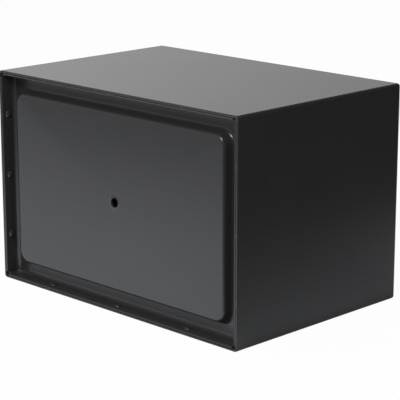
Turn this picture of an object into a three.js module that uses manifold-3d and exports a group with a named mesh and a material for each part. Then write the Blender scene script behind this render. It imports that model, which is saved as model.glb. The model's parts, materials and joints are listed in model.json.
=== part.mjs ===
// An under-desk drawer safe: a folded steel housing with a pressed rear panel, and a drawer that runs
// on telescopic slides behind a locked front plate. Millimetres, +Z up. The drawer opens towards -Y,
// and the origin is the middle of the base. The boltwork is drawn back and the drawer is shut.

import * as THREE from "three";
import { mergeVertices } from "three/addons/utils/BufferGeometryUtils.js";
import Module from "manifold-3d";

const wasm = await Module();
wasm.setup();

// Housing shell
const width = 310;
const depth = 212;
const height = 202;
const shellSheet = 2;
const shellBend = 3;
const returnFlange = 14;
const mouthCorner = 2;
const foldMeeting = 0.5;

// Rear panel
const panelSheet = 2;
const recessDepth = 15;
const lipCorner = 0.5;
const lipFillet = 3.5;
const rearFlange = 14.5;
const embossHeight = 11;
const embossFoot = 4;
const embossDraft = 0.6;
const embossEdge = 3;
const embossCorner = 12;
const anchorHole = 9;
const lipNotch = 2.5;

// Clearances
const seatGap = 0.3;
const runningGap = 0.4;
const mouthGap = 1.5;

// Slides
const slideHeight = 35;
const slideStack = 13.5;
const slideRearGap = 17;
const slideSetback = 2;
const railSheet = 1.5;
const railLip = 2.2;
const railNose = 2.1;
const bracketSheet = 2;
const bracketFoot = 12;
const bracketBorder = 2.5;
const bracketInset = 2;

// Rubber bumpers
const bumperDiameter = 12;
const bumperInset = 37.5;
const bumperFlange = 2;
const bumperWaist = 1.5;

// Front plate and drawer
const plateThickness = 4;
const plateCorner = 1.5;
const plateEdge = 0.6;
const traySheet = 1.5;
const trayHeadroom = 18;
const trayFloorGap = 4;
const trayRearGap = 6;
const trayTab = 12;
const trayTabInset = 12;
const matThickness = 2.5;
const matMargin = 2;
const matCorner = 4;

// Lock cover, its posts and its screws
const coverSheet = 1.2;
const coverDistance = 40;
const coverDrop = 2;
const postDiameter = 8;
const postInset = 41;
const postBelowCover = 10;
const screwHead = 7.2;
const screwHeadHeight = 2.2;
const screwShank = 3.8;
const screwLength = 9;
const screwSlot = 1;
const screwSlotDepth = 1.1;
const screwHole = 4.4;

// Boltwork
const boltDiameter = 10;
const boltBelowTray = 24;
const boltThrow = 12;
const boltEndGap = 2;
const boltLap = 6;
const boltChamfer = 1;
const boltBackGap = 0.6;
const barThickness = 3;
const barWidth = 12;
const barOverhang = 6;
const armHeight = 12;
const guideSheet = 2;
const guideDepth = 13;
const guideOverhang = 10;
const guideInset = 2.5;
const guideClear = 1.5;
const boltHoleGap = 0.5;
const pinDiameter = 5;
const pinRadiusAtRest = 10;
const camThickness = 3;
const camGap = 0.5;
const camBorder = 4;
const camSlotGap = 0.3;
const camSquare = 5.6;

// Knob
const knobDiameter = 40;
const knobBase = 6;
const knobHeight = 20;
const knobGrip = 11;
const knobEdge = 1.5;
const knobHollow = 13;
const spindleDiameter = 8;
const spindleGap = 0.5;

// Solenoid and its plunger
const plungerDiameter = 5;
const plungerTravel = 5;
const plungerTipGap = 0.5;
const plungerCollar = 8;
const plungerCollarHeight = 1.5;
const plungerTip = 7;
const plungerStem = 22;
const springHeight = 6;
const springWire = 0.7;
const springMean = 6.6;
const solenoidSheet = 1.2;
const solenoidBack = 1;
const solenoidWidth = 14;
const solenoidHeight = 24;
const solenoidReach = 14;
const solenoidTopReach = 10;
const coilDiameter = 8.6;
const coilBore = 5.8;
const notchDepth = 5.5;
const notchWidth = 6;

// Emergency lock, its cam and the release rod
const lockBelowKnob = 29;
const barrelDiameter = 19;
const barrelFlange = 24;
const barrelFlangeHeight = 2;
const barrelLength = 16;
const plugDiameter = 12;
const plugGap = 0.35;
const plugProud = 0.3;
const keySlotWidth = 2.2;
const keySlotHeight = 8;
const keySlotDepth = 11;
const plugTail = 5;
const keyCamThickness = 2;
const keyCamLow = 10;
const keyCamBack = 8;
const rodThickness = 1.5;
const rodWidth = 10;
const rodFoot = 3;
const rodFootLength = 8;
const rodFootGap = 0.6;
const rodFingerReach = 7;
const rodAboveGuide = 4;
const forkGap = 0.4;

// Swinging keyhole cover
const hatchDiameter = 26;
const hatchThickness = 2;
const hatchPivotRise = 18;
const hatchNeck = 10;
const hatchEdge = 0.5;
const hatchStud = 4;
const hatchStudHead = 8;
const hatchStudHeadHeight = 1;

// Keypad
const keypadWidth = 74;
const keypadHeight = 100;
const keypadDepth = 9;
const keypadCorner = 6;
const keypadEdge = 1.2;
const keypadFace = 2.5;
const keypadWall = 2;
const keySideBorder = 7;
const keyFieldFoot = 7.25;
const keyFieldHead = 18.75;
const keyColumnGap = 5;
const keyRowGap = 5.5;
const keyCorner = 2;
const keyEdge = 0.6;
const keyProud = 1.6;
const keyTravel = 1.2;
const keyFlange = 0.8;
const keyFlangeHeight = 1.4;
const keyStem = 3;
const membraneThickness = 1.2;
const lensInset = 20;
const lensHeight = 3.5;
const lensBelowTop = 11;
const lensFlangeHeight = 1;
const cableSlotWidth = 20;
const cableSlotHeight = 8;
const cableSlotBelowTop = 19;

// Control board
const boardGap = 4.6;
const boardArmGap = 5;
const boardThickness = 1.6;
const boardStandoff = 1.6;
const boardBelowTray = 18;
const boardPost = 5;
const boardPostInset = 4;
const chipSize = 12;
const chipHeight = 1.8;
const capDiameter = 6.3;
const capHeight = 5;
const capInset = 4.4;
const plugSocketWidth = 14;
const plugSocketHeight = 6;

// Cells, their holder and its cover
const cellDiameter = 14;
const cellLength = 49.5;
const cellNub = 5.4;
const cellNubHeight = 1;
const cellPitch = 14.6;
const cellEdge = 0.8;
const cellGap = 0.75;
const holderWall = 1.5;
const holderInside = 61;
const holderDepth = 17.5;
const holderRim = 0.5;
const batteryCoverThickness = 2.4;
const batteryCoverLap = 1.5;
const batteryCoverPin = 1.4;
const earGap = 0.5;
const earWidth = 2.5;
const earReach = 3;
const gripWidth = 14;
const gripDepth = 1.5;

// Reset button
const resetX = 30;
const resetRise = 30;
const resetDiameter = 7;
const resetProud = 1.5;
const resetFlange = 10;
const resetFlangeHeight = 1.6;
const resetStem = 2.2;
const resetGap = 0.4;

// How finely round shapes are cut
const cornerSteps = 4;
const keyCornerSteps = 2;
const finePoints = 32;
const roundPoints = 24;
const smallPoints = 16;
const foldSteps = 3;
const softSteps = 4;
const spiralSteps = 12;
const springTurns = 4;
const springStepsPerTurn = 10;
const springSides = 6;

const overrun = 1;

// Places worked out from the sizes above
const front = -depth / 2;
const rear = depth / 2;
const middle = height / 2;
const wallInside = width / 2 - shellSheet;
const mouthHalf = width / 2 - returnFlange;
const mouthHalfHeight = height / 2 - returnFlange;
const plateHalf = mouthHalf - mouthGap;
const plateBack = front + plateThickness;
const recessFloor = rear - recessDepth;
const trayHalf = mouthHalf - slideStack;
const trayInside = trayHalf - traySheet;
const trayFloor = returnFlange + trayFloorGap;
const trayTop = middle + mouthHalfHeight - trayHeadroom;
const trayRear = recessFloor - panelSheet - trayRearGap;
const trayFloorTop = trayFloor + traySheet;
const coverWall = plateBack + coverDistance;
const coverFace = coverWall + coverSheet;
const coverTop = trayTop - coverDrop;
const slideFront = plateBack + slideSetback;
const slideRear = recessFloor - panelSheet - slideRearGap;
const boltRadius = boltDiameter / 2;
const boltY = plateBack + boltBackGap + boltRadius;
const boltEnd = mouthHalf - boltEndGap;
const boltRise = trayTop - boltBelowTray - middle;
const armFront = boltY - barThickness / 2;
const armBack = boltY + barThickness / 2;
const guideOuter = trayInside - guideInset;
const guideInner = guideOuter - guideSheet;
const barOuter = guideInner - boltThrow - guideClear;
const barInner = barOuter - barWidth;
const camBack = armFront - camGap;
const camFront = camBack - camThickness;
const camRadius = pinRadiusAtRest + boltThrow + pinDiameter / 2 + camSlotGap + camBorder;
const lockX = (knobDiameter / 2 + barInner) / 2;
const armTop = armHeight / 2;
const plungerFoot = armTop + plungerTipGap;
const collarFoot = plungerFoot + plungerTip;
const collarTop = collarFoot + plungerCollarHeight;
const solenoidFoot = collarTop + springHeight;
const fingerTop = collarFoot - plungerTravel - plungerTipGap;
const fingerFoot = fingerTop - rodThickness;
const barrelFront = front - barrelFlangeHeight;
const barrelRear = barrelFront + barrelLength;
const keyCamFront = barrelRear + seatGap;
const rodFront = keyCamFront + (keyCamThickness - rodThickness) / 2;
const rodBack = rodFront + rodThickness;
const lockZ = middle - lockBelowKnob;
const hatchBack = barrelFront - plugProud - seatGap;
const hatchFront = hatchBack - hatchThickness;
const keypadX = -(knobDiameter / 2 + plateHalf) / 2;
const keypadFront = front - keypadDepth;
const keypadInside = keypadFront + keypadFace;
const boardX = -(camRadius + barInner) / 2;
const boardWidth = barInner - camRadius - 2 * boardGap;
const boardTop = trayTop - boardBelowTray;
const boardFoot = middle + armTop + boardArmGap;
const boardHeight = boardTop - boardFoot;
const holderX = -trayInside / 2;
const holderBack = coverWall - holderDepth;
const holderInsideHeight = cellLength + cellNubHeight + 2 * cellGap;
const windowHalf = holderInside / 2 + holderRim;
const windowHalfHeight = holderInsideHeight / 2 + holderRim;
const batteryCoverBack = coverFace + seatGap;
const batteryCoverTop = windowHalfHeight + batteryCoverLap;
const batteryHingeY = batteryCoverBack + batteryCoverThickness / 2;
const batteryHingeZ = batteryCoverTop - batteryCoverThickness / 2;
const batteryCoverHalf = windowHalf + batteryCoverLap;

const quarterTurn = Math.PI / 2;
const fullTurn = 2 * Math.PI;

function paint(color, roughness, metalness) {
  return new THREE.MeshStandardMaterial({ color, roughness, metalness, flatShading: true });
}

const powderCoat = paint(0x2a2b2d, 0.5, 0.1);
const zincSteel = paint(0xb3b6b8, 0.4, 0.9);
const turnedSteel = paint(0xc6c8ca, 0.25, 1);
const chromePlate = paint(0xd8dadc, 0.12, 1);
const blackPlastic = paint(0x1b1b1d, 0.45, 0);
const keyPlastic = paint(0x4a4c50, 0.5, 0);
const blackRubber = paint(0x161616, 0.85, 0);
const greyFelt = paint(0x3a3b3e, 0.95, 0);
const redLens = paint(0x6e1414, 0.2, 0);
const turnedBrass = paint(0xb5925a, 0.3, 1);
const greenBoard = paint(0x1d5733, 0.5, 0);
const copperWinding = paint(0xa3552c, 0.4, 0.6);
const cellJacket = paint(0x35506e, 0.35, 0.3);

// Meshes: welding, turning outward, joining and cutting

function weld(geometry) {
  const bare = geometry.clone();
  bare.deleteAttribute("normal");
  bare.deleteAttribute("uv");
  return mergeVertices(bare);
}

function signedVolume(geometry) {
  const at = geometry.getAttribute("position");
  const [a, b, c] = [new THREE.Vector3(), new THREE.Vector3(), new THREE.Vector3()];
  let total = 0;
  for (let i = 0; i < geometry.index.count; i += 3) {
    a.fromBufferAttribute(at, geometry.index.getX(i));
    b.fromBufferAttribute(at, geometry.index.getX(i + 1));
    c.fromBufferAttribute(at, geometry.index.getX(i + 2));
    total += a.dot(b.cross(c));
  }
  return total;
}

function facingOut(geometry) {
  const welded = weld(geometry);
  if (signedVolume(welded) < 0) {
    const turned = Array.from(welded.index.array).reverse();
    welded.setIndex(turned);
  }
  welded.computeVertexNormals();
  return welded;
}

function toSolid(geometry) {
  const welded = facingOut(geometry);
  return new wasm.Manifold(
    new wasm.Mesh({
      numProp: 3,
      vertProperties: new Float32Array(welded.getAttribute("position").array),
      triVerts: new Uint32Array(welded.index.array),
    }),
  );
}

function toGeometry(solid) {
  const mesh = solid.getMesh();
  const geometry = new THREE.BufferGeometry();
  geometry.setAttribute("position", new THREE.BufferAttribute(mesh.vertProperties, 3));
  geometry.setIndex(new THREE.BufferAttribute(mesh.triVerts, 1));
  return geometry;
}

function joined(first, ...others) {
  return toGeometry(others.reduce((whole, next) => whole.add(toSolid(next)), toSolid(first)));
}

function cut(first, ...tools) {
  return toGeometry(tools.reduce((whole, tool) => whole.subtract(toSolid(tool)), toSolid(first)));
}

// Outlines: arrays of points in the plane that a prism's axis is square to

const CORNERS = [[1, 1], [-1, 1], [-1, -1], [1, -1]];

function roundedOutline(halfU, halfV, radius, steps = cornerSteps) {
  return CORNERS.flatMap(([u, v], corner) =>
    Array.from({ length: steps + 1 }, (_, step) => {
      const angle = (corner + step / steps) * quarterTurn;
      return new THREE.Vector2(
        u * (halfU - radius) + radius * Math.cos(angle),
        v * (halfV - radius) + radius * Math.sin(angle),
      );
    }),
  );
}

function circle(radius, points = roundPoints) {
  return Array.from({ length: points }, (_, i) => {
    const angle = (fullTurn * i) / points;
    return new THREE.Vector2(radius * Math.cos(angle), radius * Math.sin(angle));
  });
}

function rectangle(lowU, highU, lowV, highV) {
  return outline([[lowU, lowV], [highU, lowV], [highU, highV], [lowU, highV]]);
}

function outline(pairs) {
  return pairs.map(([u, v]) => new THREE.Vector2(u, v));
}

function moved(points, u, v) {
  return points.map((point) => new THREE.Vector2(point.x + u, point.y + v));
}

function mirrored(points, side) {
  return points.map((point) => new THREE.Vector2(side * point.x, point.y));
}

// Solids

const X = new THREE.Vector3(1, 0, 0);
const Y = new THREE.Vector3(0, 1, 0);
const Z = new THREE.Vector3(0, 0, 1);
const PLANES = {
  x: [Y, Z, X],
  y: [X, Z, Y.clone().negate()],
  z: [X, Y, Z],
};

// A prism along an axis from low to high, with its rims softened by edge.
function prism(points, axis, low, high, { holes = [], edge = 0 } = {}) {
  const shape = new THREE.Shape(points);
  shape.holes = holes.map((hole) => new THREE.Path(hole));
  const geometry = new THREE.ExtrudeGeometry(shape, {
    depth: high - low - 2 * edge,
    bevelEnabled: edge > 0,
    bevelThickness: edge,
    bevelSize: edge,
    bevelOffset: -edge,
    bevelSegments: 1,
  });
  const [u, v, w] = PLANES[axis];
  const start = axis === "y" ? -high : low;
  geometry.translate(0, 0, start + edge);
  return geometry.applyMatrix4(new THREE.Matrix4().makeBasis(u, v, w));
}

function block(lowX, highX, lowY, highY, lowZ, highZ) {
  return prism(rectangle(lowX, highX, lowY, highY), "z", lowZ, highZ);
}

// A turned solid round an axis, from pairs of radius and place along the axis.
function turned(profile, axis, points = roundPoints) {
  const geometry = new THREE.LatheGeometry(outline(profile), points);
  if (axis === "z") geometry.rotateX(quarterTurn);
  if (axis === "x") geometry.rotateZ(-quarterTurn);
  return geometry;
}

function drum(radius, axis, low, high, points = roundPoints) {
  return turned([[0, low], [radius, low], [radius, high], [0, high]], axis, points);
}

// A skin over rings of equally many points: it closes on itself, or a flat cap closes each end.
function loft(rings, closes) {
  const count = rings[0].length;
  const positions = rings.flatMap((ring) => ring.flatMap((point) => [point.x, point.y, point.z]));
  const index = [];
  const last = closes ? rings.length : rings.length - 1;
  for (let ring = 0; ring < last; ring += 1) {
    const here = ring * count;
    const there = ((ring + 1) % rings.length) * count;
    for (let i = 0; i < count; i += 1) {
      const j = (i + 1) % count;
      index.push(here + i, here + j, there + j, here + i, there + j, there + i);
    }
  }
  for (let i = 1; !closes && i < count - 1; i += 1) {
    const end = (rings.length - 1) * count;
    index.push(0, i + 1, i, end, end + i, end + i + 1);
  }
  const geometry = new THREE.BufferGeometry();
  geometry.setAttribute("position", new THREE.Float32BufferAttribute(positions, 3));
  geometry.setIndex(index);
  return geometry;
}

// A ring round the housing's outline, drawn in by inset, at a depth y.
function housingRing(inset, y, radius) {
  const points = roundedOutline(width / 2 - inset, height / 2 - inset, radius);
  return points.map((point) => new THREE.Vector3(point.x, y, point.y + middle));
}

function arc(steps, make) {
  return Array.from({ length: steps + 1 }, (_, step) => make((quarterTurn * step) / steps));
}

const safe = new THREE.Group();
const housing = new THREE.Group();
const drawer = new THREE.Group();
safe.add(housing, drawer);

function add(parent, name, geometry, material, x = 0, z = 0) {
  const mesh = new THREE.Mesh(facingOut(geometry), material);
  mesh.name = name;
  mesh.position.set(x, 0, z);
  parent.add(mesh);
}

const SIDES = [["left", -1], ["right", 1]];

// Housing

function housingShell() {
  const foldInside = shellBend - shellSheet;
  const outerFold = arc(foldSteps, (angle) => {
    const inset = shellBend * (1 - Math.cos(angle));
    const y = front + shellBend * (1 - Math.sin(angle));
    return housingRing(inset, y, Math.max(shellBend - inset, foldMeeting));
  });
  const innerFold = arc(foldSteps, (angle) => {
    const inset = shellBend - foldInside * Math.sin(angle);
    const y = front + shellBend - foldInside * Math.cos(angle);
    return housingRing(inset, y, foldInside);
  });
  const rings = [
    housingRing(0, rear, shellBend),
    ...outerFold,
    housingRing(returnFlange, front, mouthCorner),
    housingRing(returnFlange, front + shellSheet, mouthCorner),
    ...innerFold,
    housingRing(shellSheet, rear, foldInside),
  ];
  return loft(rings, true);
}

// The pressed panel's section from its lip to its raised middle, set back behind the face by offset.
function panelSection(offset) {
  const lipCentre = [lipFillet, recessFloor + lipFillet];
  const foot = rearFlange - embossFoot;
  const footCentre = [foot, recessFloor + embossFoot];
  const edgeCentre = [
    rearFlange + embossDraft + embossEdge,
    recessFloor + embossHeight - embossEdge,
  ];
  const lip = arc(foldSteps, (angle) => [
    lipCentre[0] - (lipFillet + offset) * Math.cos(angle),
    lipCentre[1] - (lipFillet + offset) * Math.sin(angle),
    lipCorner + offset + lipFillet * (1 - Math.cos(angle)),
  ]);
  const heel = arc(1, (angle) => [
    footCentre[0] + (embossFoot + offset) * Math.sin(angle),
    footCentre[1] - (embossFoot + offset) * Math.cos(angle),
    embossCorner - offset + embossFoot * (1 - Math.sin(angle)),
  ]);
  const crown = arc(softSteps, (angle) => [
    edgeCentre[0] - (embossEdge - offset) * Math.cos(angle),
    edgeCentre[1] + (embossEdge - offset) * Math.sin(angle),
    embossCorner - offset - embossDraft - (embossEdge - offset) * (1 - Math.cos(angle)),
  ]);
  return [[-offset, rear, lipCorner + offset], ...lip, ...heel, ...crown];
}

function rearPanel() {
  const lipInside = shellSheet + panelSheet;
  const ring = ([inset, y, corner]) => housingRing(lipInside + inset, y, corner);
  const face = panelSection(0).map(ring);
  const back = panelSection(panelSheet).map(ring);
  const pressing = loft([...face.reverse(), ...back], false);
  const hole = drum(anchorHole / 2, "y", recessFloor - overrun, rear + overrun);
  hole.translate(0, 0, middle);
  const notch = rectangle(-lipNotch, lipNotch, -lipNotch, lipNotch);
  const notches = CORNERS.map(([u, v]) => {
    const place = moved(notch, u * wallInside, middle + v * (height / 2 - shellSheet));
    return prism(place, "y", rear - lipNotch, rear + overrun);
  });
  return cut(pressing, hole, ...notches);
}

// A hat-shaped channel between the side wall and the outer rail, its crown towards the drawer.
function slideBracket(side) {
  const crown = slideHeight / 2 + bracketBorder;
  const brim = crown + bracketFoot;
  const half = [
    [mouthHalf, crown],
    [wallInside - bracketSheet, crown],
    [wallInside - bracketSheet, brim],
    [wallInside, brim],
    [wallInside, crown - bracketSheet],
    [mouthHalf + bracketSheet, crown - bracketSheet],
  ];
  return rail(half, side, slideFront + bracketInset, slideRear - bracketInset);
}

// A rail from the upper half of its outline, which the lower half mirrors.
function rail(half, side, low, high) {
  const lower = half.map(([x, z]) => [x, -z]).reverse();
  return prism(mirrored(outline([...half, ...lower]), side), "y", low, high);
}

const outerHalf = slideHeight / 2;
const outerNose = trayHalf + railNose;
const middleWeb = mouthHalf - railSheet - runningGap;
const middleHalf = outerHalf - railSheet - runningGap;
const middleNose = outerNose + railSheet + runningGap;
const innerBrim = middleWeb - railSheet - runningGap;
const innerHalf = middleHalf - railSheet - runningGap;
const innerCrown = middleHalf - railSheet - railLip - runningGap;

// A channel with turned-in lips, which hold the next rail in.
function lippedRail(web, nose, half, side) {
  return rail(
    [
      [web, half],
      [nose, half],
      [nose, half - railSheet - railLip],
      [nose + railSheet, half - railSheet - railLip],
      [nose + railSheet, half - railSheet],
      [web - railSheet, half - railSheet],
    ].reverse(),
    side,
    slideFront,
    slideRear,
  );
}

function innerRail(side) {
  const half = [
    [innerBrim, innerHalf],
    [innerBrim - railSheet, innerHalf],
    [innerBrim - railSheet, innerCrown],
    [trayHalf, innerCrown],
  ];
  const hollow = [
    [trayHalf + railSheet, innerCrown - railSheet],
    [innerBrim, innerCrown - railSheet],
  ];
  const points = [
    ...half,
    ...half.map(([x, z]) => [x, -z]).reverse(),
    ...hollow.map(([x, z]) => [x, -z]).reverse(),
    ...hollow,
  ];
  return prism(mirrored(outline(points), side), "y", slideFront, slideRear);
}

function bumper() {
  const tip = trayRear + seatGap;
  const seat = recessFloor + embossHeight - panelSheet;
  const radius = bumperDiameter / 2;
  const profile = [
    [0, tip],
    [radius - bumperWaist, tip],
    [radius, tip + bumperWaist],
    [radius, seat - bumperFlange],
    [radius + bumperFlange, seat - bumperFlange],
    [radius + bumperFlange, seat],
    [0, seat],
  ];
  return turned(profile, "y");
}

const bumperX = trayHalf - bumperInset;

add(housing, "housing_shell", housingShell(), powderCoat);
add(housing, "rear_panel", rearPanel(), powderCoat);
for (const [name, side] of SIDES) {
  add(housing, `slide_bracket_${name}`, slideBracket(side), zincSteel, 0, middle);
  const outerRail = lippedRail(mouthHalf, outerNose, outerHalf, side);
  add(housing, `slide_outer_${name}`, outerRail, zincSteel, 0, middle);
  const middleRail = lippedRail(middleWeb, middleNose, middleHalf, side);
  add(safe, `slide_middle_${name}`, middleRail, zincSteel, 0, middle);
  add(drawer, `slide_inner_${name}`, innerRail(side), zincSteel, 0, middle);
  add(housing, `bumper_${name}`, bumper(), blackRubber, side * bumperX, middle);
}

// Drawer

function drawerTray() {
  const section = outline([
    [-trayHalf, trayFloor],
    [trayHalf, trayFloor],
    [trayHalf, trayTop],
    [trayInside, trayTop],
    [trayInside, trayFloorTop],
    [-trayInside, trayFloorTop],
    [-trayInside, trayTop],
    [-trayHalf, trayTop],
  ]);
  const rearWall = block(-trayHalf, trayHalf, trayRear - traySheet, trayRear, trayFloor, trayTop);
  const tabHalf = trayInside - trayTabInset;
  const tabTop = trayFloor + trayTab;
  const tab = block(-tabHalf, tabHalf, plateBack, plateBack + traySheet, trayFloor, tabTop);
  const boltHoles = [-1, 1].map((level) => {
    const hole = drum(boltRadius + boltHoleGap, "x", -width / 2, width / 2);
    return hole.translate(0, boltY, middle + level * boltRise);
  });
  return cut(joined(prism(section, "y", plateBack, trayRear), rearWall, tab), ...boltHoles);
}

function drawerMat() {
  const halfLength = (trayRear - traySheet - coverFace) / 2 - matMargin;
  const centre = (trayRear - traySheet + coverFace) / 2;
  const points = moved(roundedOutline(trayInside - matMargin, halfLength, matCorner), 0, centre);
  return prism(points, "z", trayFloorTop + seatGap, trayFloorTop + seatGap + matThickness);
}

const postZ = coverTop - postBelowCover;
const postX = trayInside - postInset;
const hatchPivotZ = lockZ + hatchPivotRise;

// The stud that the keyhole cover swings on: a shoulder, a pin and a head.
function hatchStudRivet() {
  const shoulder = hatchBack + seatGap;
  const head = hatchFront - seatGap;
  return turned(
    [
      [0, front + plateThickness / 2],
      [hatchStudHead / 2, front + plateThickness / 2],
      [hatchStudHead / 2, shoulder],
      [hatchStud / 2, shoulder],
      [hatchStud / 2, head],
      [hatchStudHead / 2, head],
      [hatchStudHead / 2, head - hatchStudHeadHeight],
      [0, head - hatchStudHeadHeight],
    ],
    "y",
    smallPoints,
  ).translate(lockX, 0, hatchPivotZ);
}

function frontPlate() {
  const points = roundedOutline(plateHalf, mouthHalfHeight - mouthGap, plateCorner);
  const plate = prism(moved(points, 0, middle), "y", front, plateBack, { edge: plateEdge });
  const posts = [-postX, postX].map((x) => {
    const post = drum(postDiameter / 2, "y", plateBack - plateEdge, coverWall, smallPoints);
    return post.translate(x, 0, postZ);
  });
  const threads = [-postX, postX].map((x) => {
    const low = coverWall - screwLength - overrun;
    const thread = drum(screwHole / 2, "y", low, coverWall + overrun, smallPoints);
    return thread.translate(x, 0, postZ);
  });
  const through = [front - overrun, plateBack + overrun];
  const knobHole = drum(spindleDiameter / 2 + spindleGap, "y", ...through);
  const barrelHole = drum(barrelDiameter / 2 + seatGap, "y", ...through);
  const slot = roundedOutline(cableSlotWidth / 2, cableSlotHeight / 2, cableSlotHeight / 3);
  const slotZ = middle + keypadHeight / 2 - cableSlotBelowTop;
  const cableSlot = prism(moved(slot, keypadX, slotZ), "y", ...through);
  return cut(
    joined(plate, hatchStudRivet(), ...posts),
    ...threads,
    knobHole.translate(0, 0, middle),
    barrelHole.translate(lockX, 0, lockZ),
    cableSlot,
  );
}

function lockCover() {
  const section = outline([
    [coverWall, trayFloorTop + seatGap],
    [coverFace, trayFloorTop + seatGap],
    [coverFace, coverTop],
    [plateBack + seatGap, coverTop],
    [plateBack + seatGap, coverTop - coverSheet],
    [coverWall, coverTop - coverSheet],
  ]);
  const half = trayInside - seatGap;
  const through = [coverWall - overrun, coverFace + overrun];
  const opening = moved(
    rectangle(-windowHalf, windowHalf, -windowHalfHeight, windowHalfHeight),
    holderX,
    middle,
  );
  const screwHoles = [-postX, postX].map((x) =>
    drum(screwHole / 2, "y", ...through, smallPoints).translate(x, 0, postZ),
  );
  const resetHole = drum(resetDiameter / 2 + resetGap, "y", ...through, smallPoints);
  const earInner = batteryCoverHalf + earGap;
  const pinHole = drum(batteryCoverPin / 2 + seatGap, "x", -earInner - earWidth - overrun, 0);
  const earHalf = batteryCoverPin / 2 + earReach / 2;
  const ears = [-earInner - earWidth, earInner].map((x) =>
    block(
      holderX + x,
      holderX + x + earWidth,
      coverFace - coverSheet / 2,
      coverFace + earReach,
      middle + batteryHingeZ - earHalf,
      middle + batteryHingeZ + earHalf,
    ),
  );
  const pins = [pinHole, pinHole.clone().rotateZ(2 * quarterTurn)].map((hole, i) =>
    hole.translate(holderX, batteryHingeY, middle + batteryHingeZ),
  );
  return cut(
    joined(prism(section, "x", -half, half), ...ears),
    prism(opening, "y", ...through),
    resetHole.translate(resetX, 0, middle + resetRise),
    ...screwHoles,
    ...pins,
  );
}

function coverScrew() {
  const top = coverFace + screwHeadHeight;
  const screw = turned(
    [
      [0, coverFace - screwLength],
      [screwShank / 2, coverFace - screwLength],
      [screwShank / 2, coverFace],
      [screwHead / 2, coverFace],
      [screwHead / 2, top - screwHeadHeight / 2],
      [screwHead / 3, top],
      [0, top],
    ],
    "y",
    smallPoints,
  );
  const low = top - screwSlotDepth;
  const slot = block(-screwHead, screwHead, low, top + overrun, -screwSlot / 2, screwSlot / 2);
  return cut(screw, slot);
}

add(drawer, "drawer_tray", drawerTray(), zincSteel);
add(drawer, "drawer_mat", drawerMat(), greyFelt);
add(drawer, "front_plate", frontPlate(), powderCoat);
add(drawer, "lock_cover", lockCover(), powderCoat);
for (const [name, side] of SIDES) {
  add(drawer, `cover_screw_${name}`, coverScrew(), turnedSteel, side * postX, postZ);
}

// Boltwork, which one knob drives through a cam with two spiral slots

function boltGuide(side) {
  const half = boltRise + guideOverhang;
  const points = rectangle(plateBack, plateBack + guideDepth, -half, half);
  const holes = [-1, 1].map((level) =>
    moved(circle(boltRadius + boltHoleGap), boltY, level * boltRise),
  );
  const [low, high] = side > 0 ? [guideInner, guideOuter] : [-guideOuter, -guideInner];
  return prism(points, "x", low, high, { holes });
}

function boltBar(side) {
  const end = boltRise + barOverhang;
  const nose = Array.from({ length: 2 * foldSteps + 1 }, (_, step) => {
    const angle = -quarterTurn - (step / foldSteps) * quarterTurn;
    return [pinRadiusAtRest + armTop * Math.cos(angle), armTop * Math.sin(angle)];
  });
  const notchAt = side > 0 ? [lockX - boltThrow, lockX] : [];
  const notches = notchAt.flatMap((x) => [
    [x - notchWidth / 2, armTop],
    [x - notchWidth / 2, armTop - notchDepth],
    [x + notchWidth / 2, armTop - notchDepth],
    [x + notchWidth / 2, armTop],
  ]);
  const points = outline([
    [barInner, armTop],
    [barInner, end],
    [barOuter, end],
    [barOuter, -end],
    [barInner, -end],
    [barInner, -armTop],
    ...nose,
    ...notches,
  ]);
  const pin = drum(pinDiameter / 2, "y", camFront, armBack - barThickness / 2, smallPoints);
  pin.translate(side * pinRadiusAtRest, 0, 0);
  return joined(prism(mirrored(points, side), "y", armFront, armBack), pin);
}

function roundBolt(side) {
  const start = barOuter - boltLap;
  const profile = [
    [0, side * start],
    [boltRadius, side * start],
    [boltRadius, side * (boltEnd - boltChamfer)],
    [boltRadius - boltChamfer, side * boltEnd],
    [0, side * boltEnd],
  ];
  const bolt = turned(profile, "x").translate(0, boltY, 0);
  const lap = [start - overrun, barOuter + seatGap].map((x) => side * x).sort((a, b) => a - b);
  const low = armFront - seatGap;
  const high = armBack + seatGap;
  return cut(bolt, block(...lap, low, high, -boltDiameter, boltDiameter));
}

// One spiral slot of the cam: the pin in it moves out evenly as the cam turns by a quarter.
function spiralSlot(startAngle) {
  const half = pinDiameter / 2 + camSlotGap;
  const growth = boltThrow / quarterTurn;
  const stations = Array.from({ length: spiralSteps + 1 }, (_, step) => {
    const turn = (quarterTurn * step) / spiralSteps;
    const radius = pinRadiusAtRest + growth * turn;
    const angle = startAngle - turn;
    const place = new THREE.Vector2(radius * Math.cos(angle), radius * Math.sin(angle));
    const heading = new THREE.Vector2(
      growth * Math.cos(angle) + radius * Math.sin(angle),
      growth * Math.sin(angle) - radius * Math.cos(angle),
    );
    return { place, heading: heading.angle() };
  });
  const beside = ({ place, heading }, turn) =>
    new THREE.Vector2(Math.cos(heading + turn), Math.sin(heading + turn))
      .multiplyScalar(half)
      .add(place);
  const roundEnd = (station, from) =>
    Array.from({ length: 2 * foldSteps - 1 }, (_, step) =>
      beside(station, from + ((step + 1) / foldSteps) * quarterTurn),
    );
  return [
    ...stations.map((station) => beside(station, -quarterTurn)),
    ...roundEnd(stations.at(-1), -quarterTurn),
    ...stations.map((station) => beside(station, quarterTurn)).reverse(),
    ...roundEnd(stations[0], quarterTurn),
  ];
}

function camPlate() {
  const square = camSquare / 2 + seatGap;
  const holes = [
    spiralSlot(0),
    spiralSlot(2 * quarterTurn),
    rectangle(-square, square, -square, square),
  ];
  return prism(circle(camRadius, finePoints), "y", camFront, camBack, { holes });
}

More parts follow.
